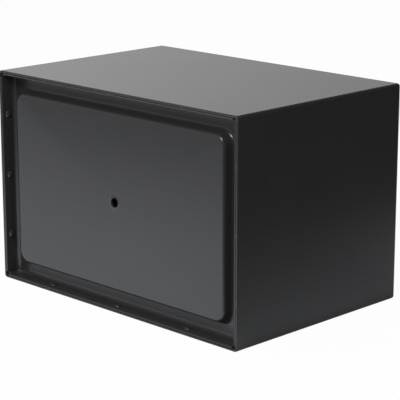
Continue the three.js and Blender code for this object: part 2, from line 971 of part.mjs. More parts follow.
function knob() {
  const back = front - spindleGap;
  const shoulder = back - knobBase;
  const radius = knobDiameter / 2;
  const base = turned(
    [
      [0, back],
      [radius, back],
      [radius, shoulder + knobEdge],
      [radius - knobEdge, shoulder],
      [0, shoulder],
    ],
    "y",
    finePoints,
  );
  const points = roundedOutline(knobGrip / 2, radius - knobEdge, knobGrip / 3);
  const grip = prism(points, "y", back - knobHeight, shoulder + knobEdge, { edge: knobEdge });
  const hollow = drum(spindleDiameter / 2 + seatGap, "y", back - knobHollow, back + overrun);
  return cut(joined(base, grip), hollow);
}

function knobSpindle() {
  const tip = front - spindleGap - knobHollow + seatGap;
  const shoulder = camFront - seatGap;
  const half = camSquare / 2;
  const square = block(-half, half, shoulder - overrun, camBack + camGap / 2, -half, half);
  return joined(drum(spindleDiameter / 2, "y", tip, shoulder), square);
}

add(drawer, "knob", knob(), chromePlate, 0, middle);
add(drawer, "knob_spindle", knobSpindle(), turnedSteel, 0, middle);
add(drawer, "cam_plate", camPlate(), zincSteel, 0, middle);
for (const [name, side] of SIDES) {
  add(drawer, `bolt_guide_${name}`, boltGuide(side), zincSteel, 0, middle);
  add(drawer, `bolt_bar_${name}`, boltBar(side), zincSteel, 0, middle);
  for (const [level, rise] of [["upper", 1], ["lower", -1]]) {
    const z = middle + rise * boltRise;
    add(drawer, `bolt_${name}_${level}`, roundBolt(side), turnedSteel, 0, z);
  }
}

// Solenoid, drawn round its plunger's axis, with heights counted from the knob's centre

function solenoidFrame() {
  const top = solenoidFoot + solenoidHeight;
  const inside = plateBack + solenoidBack;
  const section = outline([
    [plateBack, solenoidFoot],
    [plateBack + solenoidReach, solenoidFoot],
    [plateBack + solenoidReach, solenoidFoot + solenoidSheet],
    [inside, solenoidFoot + solenoidSheet],
    [inside, top - solenoidSheet],
    [plateBack + solenoidTopReach, top - solenoidSheet],
    [plateBack + solenoidTopReach, top],
    [plateBack, top],
  ]);
  const frame = prism(section, "x", -solenoidWidth / 2, solenoidWidth / 2);
  const through = [solenoidFoot - overrun, solenoidFoot + solenoidSheet + overrun];
  const bore = drum(coilBore / 2, "z", ...through).translate(0, boltY, 0);
  const half = rodWidth / 2 + seatGap;
  const rodSlot = block(-half, half, rodFront - seatGap, rodBack + seatGap, ...through);
  return cut(frame, bore, rodSlot);
}

function solenoidCoil() {
  const low = solenoidFoot + solenoidSheet + seatGap;
  const high = solenoidFoot + solenoidHeight - solenoidSheet - seatGap;
  const [inner, outer] = [coilBore / 2, coilDiameter / 2];
  const ring = [[inner, low], [outer, low], [outer, high], [inner, high], [inner, low]];
  return turned(ring, "z").translate(0, boltY, 0);
}

function solenoidPlunger() {
  const radius = plungerDiameter / 2;
  return turned(
    [
      [0, plungerFoot],
      [radius, plungerFoot],
      [radius, collarFoot],
      [plungerCollar / 2, collarFoot],
      [plungerCollar / 2, collarTop],
      [radius, collarTop],
      [radius, collarTop + plungerStem],
      [0, collarTop + plungerStem],
    ],
    "z",
    smallPoints,
  ).translate(0, boltY, 0);
}

// A helical wire between the plunger's collar and the frame, with flat steps of a polygon section.
function solenoidSpring() {
  const steps = springTurns * springStepsPerTurn;
  const low = collarTop + springWire / 2 + seatGap / 2;
  const climb = springHeight - springWire - seatGap;
  const rings = Array.from({ length: steps + 1 }, (_, step) => {
    const angle = (fullTurn * step) / springStepsPerTurn;
    const out = new THREE.Vector3(Math.cos(angle), Math.sin(angle), 0);
    const centre = out.clone().multiplyScalar(springMean / 2);
    centre.z = low + (climb * step) / steps;
    return circle(springWire / 2, springSides).map((point) =>
      centre.clone().addScaledVector(out, point.x).addScaledVector(Z, point.y),
    );
  });
  return loft(rings, false).translate(0, boltY, 0);
}

function releaseRod() {
  const top = solenoidFoot + solenoidSheet + rodAboveGuide;
  const foot = keyCamLow - lockBelowKnob + rodFootGap;
  const half = rodWidth / 2;
  const strip = prism(
    outline([
      [-rodFoot / 2, foot],
      [rodFoot / 2, foot],
      [rodFoot / 2, foot + rodFootLength],
      [half, foot + rodFootLength + half - rodFoot / 2],
      [half, top],
      [-half, top],
      [-half, foot + rodFootLength + half - rodFoot / 2],
      [-rodFoot / 2, foot + rodFootLength],
    ]),
    "y",
    rodFront,
    rodBack,
  );
  const reach = rodFront - rodFingerReach;
  const finger = block(-half, half, reach, rodBack, fingerFoot, fingerTop);
  const forkHalf = plungerDiameter / 2 + forkGap;
  const forkEnd = boltY + forkHalf;
  const fork = block(-forkHalf, forkHalf, reach - overrun, forkEnd, fingerFoot - overrun, top);
  return cut(joined(strip, finger), fork);
}

add(drawer, "solenoid_frame", solenoidFrame(), zincSteel, lockX, middle);
add(drawer, "solenoid_coil", solenoidCoil(), copperWinding, lockX, middle);
add(drawer, "solenoid_plunger", solenoidPlunger(), turnedSteel, lockX, middle);
add(drawer, "solenoid_spring", solenoidSpring(), turnedSteel, lockX, middle);
add(drawer, "release_rod", releaseRod(), zincSteel, lockX, middle);

// Emergency lock, drawn round the key plug's axis

function keyBarrel() {
  const bore = plugDiameter / 2 + plugGap;
  const [body, flange] = [barrelDiameter / 2, barrelFlange / 2];
  return turned(
    [
      [bore, barrelFront],
      [flange, barrelFront],
      [flange, front],
      [body, front],
      [body, barrelRear],
      [bore, barrelRear],
      [bore, barrelFront],
    ],
    "y",
  );
}

// The cam's edge grows evenly over a quarter turn, so the rod on it rises by the plunger's travel.
function keyCamOutline() {
  const rising = Array.from({ length: spiralSteps + 1 }, (_, step) => {
    const angle = (quarterTurn * step) / spiralSteps;
    const radius = keyCamLow + plungerTravel * (1 - step / spiralSteps);
    return new THREE.Vector2(radius * Math.cos(angle), radius * Math.sin(angle));
  });
  const round = Array.from({ length: 2 * spiralSteps }, (_, step) => {
    const angle = quarterTurn + (quarterTurn * (step + 1)) / (spiralSteps - 1);
    return new THREE.Vector2(keyCamBack * Math.cos(angle), keyCamBack * Math.sin(angle));
  });
  return [...rising, ...round];
}

function keyPlug() {
  const face = barrelFront - plugProud;
  const plug = drum(plugDiameter / 2, "y", face, barrelRear);
  const half = plugTail / 2;
  const tail = block(-half, half, barrelRear - overrun, keyCamFront + overrun, -half, half);
  const cam = prism(keyCamOutline(), "y", keyCamFront, keyCamFront + keyCamThickness);
  const slot = block(
    -keySlotWidth / 2,
    keySlotWidth / 2,
    face - overrun,
    face + keySlotDepth,
    -keySlotHeight / 2,
    keySlotHeight / 2,
  );
  return cut(joined(plug, tail, cam), slot);
}

// A teardrop: a disc over the keyhole, drawn up to a smaller round end at the pivot above it.
function keyholeCover() {
  const large = hatchDiameter / 2;
  const small = hatchNeck / 2;
  const lean = Math.acos((large - small) / hatchPivotRise);
  const sweep = (radius, z, from, to) =>
    Array.from({ length: smallPoints + 1 }, (_, step) => {
      const angle = from + ((to - from) * step) / smallPoints;
      return [radius * Math.cos(angle), z + radius * Math.sin(angle)];
    });
  const points = outline([
    ...sweep(small, hatchPivotRise, quarterTurn - lean, quarterTurn + lean),
    ...sweep(large, 0, quarterTurn + lean, fullTurn + quarterTurn - lean),
  ]);
  const plate = prism(points, "y", hatchFront, hatchBack, { edge: hatchEdge });
  const through = [hatchFront - overrun, hatchBack + overrun];
  const pivot = drum(hatchStud / 2 + runningGap, "y", ...through, smallPoints);
  return cut(plate, pivot.translate(0, 0, hatchPivotRise));
}

add(drawer, "key_barrel", keyBarrel(), chromePlate, lockX, lockZ);
add(drawer, "key_plug", keyPlug(), turnedBrass, lockX, lockZ);
add(drawer, "keyhole_cover", keyholeCover(), blackPlastic, lockX, lockZ);

// Keypad, drawn round its own middle

const KEYS = [
  ["1", "2", "3"],
  ["4", "5", "6"],
  ["7", "8", "9"],
  ["star", "0", "hash"],
];

const keyColumnPitch = (keypadWidth - 2 * keySideBorder) / KEYS[0].length;
const keyRowPitch = (keypadHeight - keyFieldFoot - keyFieldHead) / KEYS.length;
const keyWidth = keyColumnPitch - keyColumnGap;
const keyHeight = keyRowPitch - keyRowGap;
const keyFieldRise = (keyFieldFoot - keyFieldHead) / 2;
const lensWidth = keypadWidth - 2 * lensInset;
const lensRise = keypadHeight / 2 - lensBelowTop;

function keyPlace(row, column) {
  const x = (column - (KEYS[row].length - 1) / 2) * keyColumnPitch;
  return [x, keyFieldRise + ((KEYS.length - 1) / 2 - row) * keyRowPitch];
}

function keyOutline(grown) {
  return roundedOutline(keyWidth / 2 + grown, keyHeight / 2 + grown, keyCorner, keyCornerSteps);
}

function keypadHousing() {
  const points = roundedOutline(keypadWidth / 2, keypadHeight / 2, keypadCorner);
  const body = prism(points, "y", keypadFront, front, { edge: keypadEdge });
  const inside = roundedOutline(
    keypadWidth / 2 - keypadWall,
    keypadHeight / 2 - keypadWall,
    keypadCorner - keypadWall,
  );
  const hollow = prism(inside, "y", keypadInside, front + overrun);
  const through = [keypadFront - overrun, keypadInside + overrun];
  const keyHoles = KEYS.flatMap((names, row) =>
    names.map((_, column) =>
      prism(moved(keyOutline(seatGap), ...keyPlace(row, column)), "y", ...through),
    ),
  );
  const window = rectangle(
    -lensWidth / 2 - seatGap,
    lensWidth / 2 + seatGap,
    lensRise - lensHeight / 2 - seatGap,
    lensRise + lensHeight / 2 + seatGap,
  );
  return cut(body, hollow, prism(window, "y", ...through), ...keyHoles);
}

function keypadMembrane() {
  const inset = keypadWall + seatGap;
  const points = roundedOutline(
    keypadWidth / 2 - inset,
    keypadHeight / 2 - inset,
    keypadCorner - inset,
  );
  return prism(points, "y", front - membraneThickness, front);
}

const flangeFront = keypadInside + seatGap;
const flangeBack = flangeFront + keyFlangeHeight;

function key() {
  const cap = prism(keyOutline(0), "y", keypadFront - keyProud, flangeBack, { edge: keyEdge });
  const flange = prism(keyOutline(keyFlange), "y", flangeFront, flangeBack);
  const stemEnd = front - membraneThickness - seatGap - keyTravel;
  const stem = drum(keyStem / 2, "y", flangeFront, stemEnd, smallPoints / 2);
  return joined(cap, flange, stem);
}

function indicatorLens() {
  const strip = block(
    -lensWidth / 2,
    lensWidth / 2,
    keypadFront,
    flangeFront + lensFlangeHeight,
    lensRise - lensHeight / 2,
    lensRise + lensHeight / 2,
  );
  const flange = block(
    -lensWidth / 2 - keyFlange,
    lensWidth / 2 + keyFlange,
    flangeFront,
    flangeFront + lensFlangeHeight,
    lensRise - lensHeight / 2 - keyFlange,
    lensRise + lensHeight / 2 + keyFlange,
  );
  return joined(strip, flange);
}

add(drawer, "keypad_housing", keypadHousing(), blackPlastic, keypadX, middle);
add(drawer, "keypad_membrane", keypadMembrane(), blackRubber, keypadX, middle);
add(drawer, "indicator_lens", indicatorLens(), redLens, keypadX, middle);
KEYS.forEach((names, row) =>
  names.forEach((name, column) => {
    const [x, z] = keyPlace(row, column);
    add(drawer, `key_${name}`, key(), keyPlastic, keypadX + x, middle + z);
  }),
);

// Control board, drawn round its own middle

function controlBoard() {
  const [halfWidth, halfHeight] = [boardWidth / 2, boardHeight / 2];
  const low = plateBack + boardStandoff;
  const high = low + boardThickness;
  const board = block(-halfWidth, halfWidth, low, high, -halfHeight, halfHeight);
  const posts = CORNERS.map(([u, v]) => {
    const post = drum(boardPost / 2, "y", plateBack, high - boardThickness / 2, smallPoints / 2);
    const inset = boardPostInset;
    return post.translate(u * (halfWidth - inset), 0, v * (halfHeight - inset));
  });
  const chip = block(-chipSize, 0, high - boardThickness / 2, high + chipHeight, 0, chipSize);
  const outerCap = halfWidth - capInset;
  const capAt = [outerCap - 2 * capDiameter, outerCap];
  const caps = capAt.map((x) =>
    drum(capDiameter / 2, "y", high - boardThickness / 2, high + capHeight, smallPoints)
      .translate(x, 0, -halfHeight / 3),
  );
  const socket = block(
    -plugSocketWidth,
    0,
    high - boardThickness / 2,
    high + plugSocketHeight,
    -halfHeight + boardPostInset,
    -halfHeight + boardPostInset + plugSocketHeight,
  );
  return joined(board, ...posts, chip, ...caps, socket);
}

add(drawer, "control_board", controlBoard(), greenBoard, boardX, boardFoot + boardHeight / 2);

// Cells in their holder, and the cover that swings up from them

const CELL_SHARES = [-1.5, -0.5, 0.5, 1.5];

function batteryHolder() {
  const halfWidth = holderInside / 2 + holderWall;
  const halfHeight = holderInsideHeight / 2 + holderWall;
  const outside = block(-halfWidth, halfWidth, holderBack, coverWall, -halfHeight, halfHeight);
  const hollow = block(
    -holderInside / 2,
    holderInside / 2,
    holderBack + holderWall,
    coverWall + overrun,
    -holderInsideHeight / 2,
    holderInsideHeight / 2,
  );
  return cut(outside, hollow);
}

function cell() {
  const radius = cellDiameter / 2;
  const low = -holderInsideHeight / 2 + cellGap;
  const shoulder = low + cellLength;
  return turned(
    [
      [0, low],
      [radius - cellEdge, low],
      [radius, low + cellEdge],
      [radius, shoulder - cellEdge],
      [radius - cellEdge, shoulder],
      [cellNub / 2, shoulder],
      [cellNub / 2, shoulder + cellNubHeight],
      [0, shoulder + cellNubHeight],
    ],
    "z",
    smallPoints,
  ).translate(0, holderBack + holderWall + seatGap + radius, 0);
}

function batteryCover() {
  const radius = batteryCoverThickness / 2;
  const round = Array.from({ length: smallPoints / 2 + 1 }, (_, step) => {
    const angle = (2 * quarterTurn * step) / (smallPoints / 2);
    return [batteryHingeY + radius * Math.cos(angle), batteryHingeZ + radius * Math.sin(angle)];
  });
  const face = batteryCoverBack + batteryCoverThickness;
  const section = outline([
    [batteryCoverBack, -batteryCoverTop],
    [face, -batteryCoverTop],
    ...round,
  ]);
  const plate = prism(section, "x", -batteryCoverHalf, batteryCoverHalf);
  const pinHalf = batteryCoverHalf + earGap + earWidth - seatGap;
  const pin = drum(batteryCoverPin / 2, "x", -pinHalf, pinHalf, smallPoints);
  const grip = block(
    -gripWidth / 2,
    gripWidth / 2,
    face - batteryCoverThickness / 2,
    face + gripDepth,
    gripDepth - batteryCoverTop,
    2 * gripDepth - batteryCoverTop,
  );
  return joined(plate, pin.translate(0, batteryHingeY, batteryHingeZ), grip);
}

function resetButton() {
  const flangeRear = coverWall - seatGap;
  const flangeStart = flangeRear - resetFlangeHeight;
  return turned(
    [
      [0, flangeStart - resetStem],
      [resetStem / 2, flangeStart - resetStem],
      [resetStem / 2, flangeStart],
      [resetFlange / 2, flangeStart],
      [resetFlange / 2, flangeRear],
      [resetDiameter / 2, flangeRear],
      [resetDiameter / 2, coverFace + resetProud],
      [0, coverFace + resetProud],
    ],
    "y",
    smallPoints,
  );
}

add(drawer, "battery_holder", batteryHolder(), blackPlastic, holderX, middle);
add(drawer, "battery_cover", batteryCover(), blackPlastic, holderX, middle);
CELL_SHARES.forEach((share, i) =>
  add(drawer, `battery_${i + 1}`, cell(), cellJacket, holderX + share * cellPitch, middle),
);
add(drawer, "reset_button", resetButton(), redLens, resetX, middle + resetRise);

export default safe;
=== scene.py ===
"""The looks of an under-desk drawer safe: powder-coated sheet steel, seen from its rear panel.

Each piece is a surface worked out with numpy, or a fillet over a copy of a CAD node, and rides on
that node's body. Lengths are in metres, in the frame's own axes: +Z up, the drawer opening
towards -Y.
"""

import json
import math

import bmesh
import bpy
import numpy as np
from mathutils import Matrix, Vector

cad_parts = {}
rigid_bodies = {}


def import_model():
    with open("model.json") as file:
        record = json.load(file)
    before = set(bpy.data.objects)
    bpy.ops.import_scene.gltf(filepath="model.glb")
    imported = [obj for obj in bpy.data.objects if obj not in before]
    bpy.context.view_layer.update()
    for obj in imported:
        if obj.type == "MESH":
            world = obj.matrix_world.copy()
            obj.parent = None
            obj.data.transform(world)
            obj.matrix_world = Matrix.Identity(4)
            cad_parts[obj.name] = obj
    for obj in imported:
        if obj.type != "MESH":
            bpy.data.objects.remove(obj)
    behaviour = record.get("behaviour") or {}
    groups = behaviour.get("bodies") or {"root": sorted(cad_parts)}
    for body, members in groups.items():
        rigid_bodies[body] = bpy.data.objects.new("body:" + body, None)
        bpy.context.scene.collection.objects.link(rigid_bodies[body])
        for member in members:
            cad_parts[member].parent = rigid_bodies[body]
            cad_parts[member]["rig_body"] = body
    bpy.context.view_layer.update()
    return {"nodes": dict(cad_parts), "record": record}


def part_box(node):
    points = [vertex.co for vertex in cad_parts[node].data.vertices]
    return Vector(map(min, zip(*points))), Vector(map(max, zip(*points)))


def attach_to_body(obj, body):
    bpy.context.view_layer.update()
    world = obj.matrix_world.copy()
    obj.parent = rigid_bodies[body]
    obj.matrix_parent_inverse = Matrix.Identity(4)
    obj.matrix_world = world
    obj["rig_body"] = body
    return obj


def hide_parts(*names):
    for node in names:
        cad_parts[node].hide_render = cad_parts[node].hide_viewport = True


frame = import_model()

MM = 0.001
QUARTER = math.pi / 2

# The housing's sheet metal, in the CAD's sizes
SHELL_SHEET = 2 * MM
SHELL_BEND = 3 * MM
RETURN_FLANGE = 14 * MM
MOUTH_CORNER = 2 * MM
PANEL_SHEET = 2 * MM
RECESS_DEPTH = 15 * MM
LIP_CORNER = 0.5 * MM
LIP_NOTCH = 2.5 * MM
REAR_FLANGE = 14.5 * MM
EMBOSS_HEIGHT = 11 * MM
EMBOSS_FOOT = 4 * MM
EMBOSS_DRAFT = 0.6 * MM
EMBOSS_EDGE = 3 * MM
EMBOSS_CORNER = 12 * MM
ANCHOR_HOLE = 9 * MM

# Where the sheet metal is softer than in the CAD: the lip's fillet is wider, each cut edge is
# rounded, the notches' sides slope, and the hole has a burr
LIP_FILLET = 4.2 * MM
CUT_EDGE = 0.8 * MM
LIP_END = 0.95 * MM
FOLD_CORNER = 0.5 * MM
NOTCH_SIDE = (1.4 * MM, 1.6 * MM)
ANCHOR_BURR = 1.1 * MM
ANCHOR_BURR_HEIGHT = 0.25 * MM

# Weld beads that hold the panel's lip in the shell: their places as shares of a wall's length, and
# for each kind half its length, half its width and its height. The top is a share of the reach,
# where the last ring closes.
WELD_SHARES = (0.21, 0.5, 0.79)
LIP_BEAD = (3.6 * MM, 3.3 * MM, 1.9 * MM)
SEAM_BEAD = (2.8 * MM, 1.5 * MM, 0.9 * MM)
LIP_BEAD_DEPTH = 6.8 * MM
BEAD_ROUNDNESS = 0.7
BEAD_TOP = 0.03
BEAD_SUNK = 0.06 * MM
BEAD_RIPPLE = 1.1 * MM
RIPPLE_SHARE = 0.06
RIPPLE_BOW = 0.4

# The knob: a round dished base, and a waisted bar across it. The hub, where the base's faces close,
# is a share of its radius. Corner radii are shares of a half width, and the crown's rows are shares
# of the grip's end. The pointer's face is given as shares of its half width, half length and half
# width again, for its corners.
KNOB_EDGE = 1.5 * MM
KNOB_BASE = 6 * MM
KNOB_FOOT = 0.3 * MM
KNOB_DISH = 0.45 * MM
DISH_EDGE = (2.7 * MM, 3.3 * MM)
KNOB_HUB = 0.05
KNOB_GRIP = 11 * MM
GRIP_SETBACK = 2.4 * MM
GRIP_SUNK = 0.75 * MM
GRIP_ROUND = 0.96
KNOB_WAIST = 1.2 * MM
KNOB_FLARE = 1.6 * MM
KNOB_CROWN = 0.6 * MM
CROWN_SHARES = np.array([0.85, 0.65, 0.45, 0.25])
CROWN_ROUND = 0.9
POINTER_LENGTH = 9 * MM
POINTER_WIDTH = 1.3 * MM
POINTER_RAISED = 0.08 * MM
POINTER_ROUND = 0.9
POINTER_FACE = (0.9, 0.98, 0.8)
POINTER_SETBACK = 3.9 * MM

# The keys' printed figures
LEGEND_HEIGHT = 7.5 * MM
LEGEND_RAISED = 0.06 * MM
KEY_FIGURES = {f"key_{n}": str(n) for n in range(10)} | {"key_star": "*", "key_hash": "#"}

# The felt. Its middle is the share of its half length at which its top's last ring closes.
FELT_EDGE = 0.9 * MM
FELT_FOOT = 0.1 * MM
FELT_CORNER = 6 * MM
FELT_LEAST_CORNER = 0.5 * MM
FELT_MIDDLE = 0.02
FELT_WAVE = 0.25 * MM

# How wide the edges of the other nodes are rounded over, by slot
EASED = {
    "powder_coat": 0.6 * MM,
    "zinc_steel": 0.25 * MM,
    "turned_steel": 0.3 * MM,
    "chrome_plate": 0.4 * MM,
    "turned_brass": 0.3 * MM,
    "copper_winding": 0.4 * MM,
    "black_plastic": 0.8 * MM,
    "key_plastic": 0.6 * MM,
    "red_plastic": 0.4 * MM,
    "black_rubber": 0.8 * MM,
    "green_board": 0.1 * MM,
    "cell_jacket": 0.3 * MM,
}
EASED_SEGMENTS = 2
EASED_ANGLE = math.radians(28)

# How finely the surfaces are cut, and what counts as one point or one plane
CORNER_STEPS = 10
FOLD_STEPS = 8
CUT_STEPS = 4
LIP_STEPS = 5
BEAD_RINGS, BEAD_SPOKES = 16, 40
KNOB_SPOKES = 96
GRIP_ROWS = 17
FELT_ARC_STEPS = 6
FELT_WALL_ROWS = 7
FELT_TOP_ROWS = 24
FLAT_GUARD = 0.3 * MM
BAR_GUARD = 0.05 * MM
SHARP_EDGE = math.radians(30)
FELT_SHARP_EDGE = math.radians(60)
MERGED = 0.002 * MM
ONE_PLANE = math.radians(0.5)

# Spacings in the finishes, the borders on a cell's jacket as shares of half its length, and the
# colours of turned metal
LENS_PITCH = 1.2 * MM
WIRE_PITCH = 0.35 * MM
JACKET_BAND = (0.52, 0.54)
JACKET_END = (0.965, 0.97)
STEEL_DARK, STEEL_BRIGHT = (0.48, 0.49, 0.50, 1), (0.62, 0.63, 0.64, 1)
BRASS_DARK, BRASS_BRIGHT = (0.40, 0.24, 0.08, 1), (0.53, 0.34, 0.13, 1)

shell_low, shell_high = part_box("housing_shell")
SHELL_MIDDLE = (shell_low + shell_high) / 2
SHELL_SIZE = shell_high - shell_low


# Finishes: nodes written as Python expressions


class Signal:
    """A socket's value. Arithmetic on it adds Math nodes."""

    def __init__(self, finish, socket):
        self.finish = finish
        self.socket = socket

    def math(self, operation, *others):
        values = dict(enumerate((self, *others)))
        return self.finish.node("Math", {"operation": operation}, values)

    def __add__(self, other):
        return self.math("ADD", other)

    def __sub__(self, other):
        return self.math("SUBTRACT", other)

    def __mul__(self, other):
        return self.math("MULTIPLY", other)

    def __rsub__(self, other):
        return self * -1.0 + other

    __radd__ = __add__
    __rmul__ = __mul__


class Finish:
    """One node material, or the world, and the patterns that its surface is built from."""

    def __init__(self, name, owner=None):
        self.owner = owner or bpy.data.materials.new(name)
        self.owner.use_nodes = True
        self.tree = self.owner.node_tree
        self.tree.nodes.clear()

    def node(self, kind, settings=None, values=None, output=0):
        """Adds a node: first its settings, and then the value or link of each socket, which goes by
        its name or its number."""
        node = self.tree.nodes.new("ShaderNode" + kind)
        for key, value in (settings or {}).items():
            setattr(node, key, value)
        for key, value in (values or {}).items():
            if isinstance(value, Signal):
                self.tree.links.new(value.socket, node.inputs[key])
            else:
                node.inputs[key].default_value = value
        return Signal(self, node.outputs[output]) if len(node.outputs) else node

    def axis(self, vector, name):
        """One of a vector's three parts."""
        return self.node("SeparateXYZ", None, {"Vector": vector}, name)

    def place(self, centre=(0, 0, 0), stretch=(1, 1, 1)):
        """Object coordinates, moved so that centre is zero, and then stretched."""
        moved = [-c * s for c, s in zip(centre, stretch)]
        here = self.node("TexCoord", output="Object")
        return self.node("Mapping", None, {"Vector": here, "Location": moved, "Scale": stretch})

    def noise(self, scale, detail=2.0, roughness=0.5, stretch=(1, 1, 1)):
        """Clouds, about scale to a metre, drawn out along an axis whose stretch is under 1."""
        values = {
            "Vector": self.place(stretch=stretch),
            "Scale": scale,
            "Detail": detail,
            "Roughness": roughness,
        }
        return self.node("TexNoise", None, values)

    def cells(self, scale, output="Distance"):
        """Crystal-like cells, about scale to a metre."""
        return self.node("TexVoronoi", None, {"Vector": self.place(), "Scale": scale}, output)

    def bands(self, direction, pitch, distortion=0.0):
        """Straight bands, one to a pitch. At a scale of 1 the node's own are 2 pi / 20 apart."""
        settings = {"wave_type": "BANDS", "bands_direction": direction}
        scale = 2 * math.pi / 20 / pitch
        values = {"Vector": self.place(), "Scale": scale, "Distortion": distortion}
        return self.node("TexWave", settings, values)

    def ease(self, value, low, high):
        """0 before low, 1 past high, and a smooth step between."""
        values = {"Value": value, "From Min": low, "From Max": high}
        return self.node("MapRange", {"interpolation_type": "SMOOTHSTEP"}, values)

    def fall(self, value, low, high, loss):
        """1 before low, less by the loss past high, and a smooth step between."""
        return 1 - loss * self.ease(value, low, high)

    def mix(self, factor, first, second):
        """A colour between two colours."""
        values = {0: factor, 6: first, 7: second}
        return self.node("Mix", {"data_type": "RGBA"}, values, 2)

    def bump(self, height, distance, strength=1.0):
        values = {"Height": height, "Distance": distance, "Strength": strength}
        return self.node("Bump", None, values)

    def surface(self, values):
        shader = self.node("BsdfPrincipled", None, values)
        self.node("OutputMaterial", None, {"Surface": shader})
        return self.owner


def grey(level):
    return (level, level, level, 1.0)


def between(first, second, share):
    """A value between two, which may be numbers or signals."""
    return first + (second - first) * share


# Bare metal, paint and plastic


def powder_coat():
    """Satin black powder: an orange-peel skin about 1 mm across, pale specks and slight clouds."""
    f = Finish("powder_coat")
    peel = f.noise(1100, 3, 0.55)
    grain = f.noise(5200, 1, 0.5)
    clouds = f.noise(14, 3, 0.6)
    colour = f.mix(clouds, (0.0180, 0.0183, 0.0190, 1), (0.0222, 0.0225, 0.0233, 1))
    specks = f.ease(f.noise(2600, 1, 0.5), 0.66, 0.8)
    colour = f.mix(specks * 0.35, colour, grey(0.055))
    values = {
        "Base Color": colour,
        "Roughness": 0.235 + 0.025 * clouds + 0.03 * peel,
        "Normal": f.bump(peel + grain * 0.25, 0.07 * MM, 0.3),
        "IOR": 1.58,
    }
    return f.surface(values)


def zinc_sheet():
    """Bright zinc plate: a brushed rolling grain, cloudy patches and a faint spangle."""
    f = Finish("zinc_sheet")
    rolled = f.noise(900, 3, 0.6, (1, 0.04, 1))
    clouds = f.noise(30, 4, 0.6)
    spangle = f.node("RGBToBW", None, {"Color": f.cells(260, "Color")})
    patches = clouds * 0.6 + spangle * 0.25
    values = {
        "Base Color": f.mix(patches, (0.54, 0.55, 0.56, 1), (0.68, 0.69, 0.69, 1)),
        "Metallic": 0.6,
        "Roughness": 0.30 + 0.14 * clouds + 0.06 * rolled,
        "Normal": f.bump(rolled + 0.4 * clouds, 0.03 * MM, 0.5),
    }
    return f.surface(values)


def turned_metal(name, dark, bright, rough, stretch):
    """Metal off a lathe: fine rings along the axis that stretch leaves at 1."""
    f = Finish(name)
    rings = f.noise(3200, 2, 0.6, stretch)
    clouds = f.noise(120, 3, 0.6)
    values = {
        "Base Color": f.mix(clouds, dark, bright),
        "Metallic": 1.0,
        "Roughness": rough + 0.08 * clouds + 0.05 * rings,
        "Normal": f.bump(rings, 0.02 * MM, 0.5),
    }
    return f.surface(values)


def chrome_plate():
    """Polished chrome: nearly a mirror, with a breath of haze and fine wiping lines."""
    f = Finish("chrome_plate")
    haze = f.noise(60, 4, 0.65)
    wiped = f.noise(1500, 2, 0.6, (1, 1, 0.06))
    values = {
        "Base Color": f.mix(haze, (0.62, 0.63, 0.65, 1), (0.74, 0.75, 0.76, 1)),
        "Metallic": 1.0,
        "Roughness": 0.07 + 0.11 * haze + 0.03 * wiped,
        "Normal": f.bump(wiped, 0.01 * MM, 0.3),
    }
    return f.surface(values)


def moulding(name, dark, light, rough, grain):
    """Moulded plastic or rubber: a spark-eroded grain of that size across, and slight clouds."""
    f = Finish(name)
    texture = f.noise(1 / grain, 2, 0.6)
    clouds = f.noise(45, 3, 0.6)
    values = {
        "Base Color": f.mix(clouds, dark, light),
        "Roughness": rough + 0.08 * clouds + 0.06 * texture,
        "Normal": f.bump(texture, 0.05 * MM, 0.5),
    }
    return f.surface(values)


def red_lens():
    """Red moulding: cloudy deep red under a gloss coat, with upright prism ribs in its face."""
    f = Finish("red_lens")
    ribs = f.bands("X", LENS_PITCH)
    clouds = f.noise(160, 3, 0.6)
    values = {
        "Base Color": f.mix(clouds, (0.13, 0.006, 0.006, 1), (0.24, 0.014, 0.012, 1)),
        "Roughness": 0.12 + 0.1 * clouds,
        "Coat Weight": 0.6 + 0.3 * clouds,
        "Normal": f.bump(ribs, 0.06 * MM, 0.5),
    }
    return f.surface(values)


def felt():
    """Needled felt: crossing fibres, small tufts and a heathered grey."""
    f = Finish("felt")
    along = f.noise(2400, 3, 0.7, (1, 0.12, 1))
    across = f.noise(2400, 3, 0.7, (0.12, 1, 1))
    tufts = f.noise(700, 3, 0.65)
    fibres = along * 0.5 + across * 0.5
    tone = f.mix(fibres, (0.030, 0.032, 0.036, 1), (0.115, 0.120, 0.134, 1))
    tone = f.mix(f.ease(tufts, 0.55, 0.75) * 0.5, tone, (0.17, 0.175, 0.19, 1))
    values = {
        "Base Color": tone,
        "Roughness": 0.88 + 0.1 * tufts,
        "Normal": f.bump(fibres + tufts, 0.4 * MM, 0.8),
        "Sheen Weight": 0.35,
        "Sheen Roughness": 0.6,
        "Specular IOR Level": 0.2,
    }
    return f.surface(values)


def circuit_board():
    """A lacquered green board: straight tracks in a brighter green, and tinned pads."""
    f = Finish("circuit_board")
    layout = {
        "Vector": f.place(),
        "Color1": grey(0.0),
        "Color2": grey(0.35),
        "Mortar": grey(1.0),
        "Scale": 160.0,
        "Mortar Size": 0.06,
    }
    tracks = f.node("TexBrick", {"offset": 0.5, "squash": 0.6}, layout)
    pads = f.ease(f.cells(420), 0.22, 0.12)
    tone = f.mix(tracks * 0.7, (0.006, 0.065, 0.022, 1), (0.02, 0.15, 0.055, 1))
    tone = f.mix(pads * 0.6, tone, (0.38, 0.37, 0.33, 1))
    values = {
        "Base Color": tone,
        "Roughness": 0.3 + 0.2 * f.noise(90, 3),
        "Normal": f.bump(tracks + pads, 0.05 * MM, 0.5),
    }
    return f.surface(values)


def copper_winding():
    """Lacquered wire wound round Z: a ridge at every pitch, with painted shade darkening the
    grooves between turns and the crests painted lighter.
    """
    f = Finish("copper_winding")
    ridges_and_groove_shade = f.bands("Z", WIRE_PITCH, 0.3)
    values = {
        # Painted shade and highlight: the colour is darker in each groove between turns and lighter
        # on each crest
        "Base Color": f.mix(ridges_and_groove_shade, (0.16, 0.035, 0.01, 1), (0.48, 0.14, 0.045, 1)),
        "Metallic": 0.8,
        "Roughness": 0.32 + 0.1 * f.noise(300),
        "Normal": f.bump(ridges_and_groove_shade, 0.15 * MM, 0.8),
    }
    return f.surface(values)


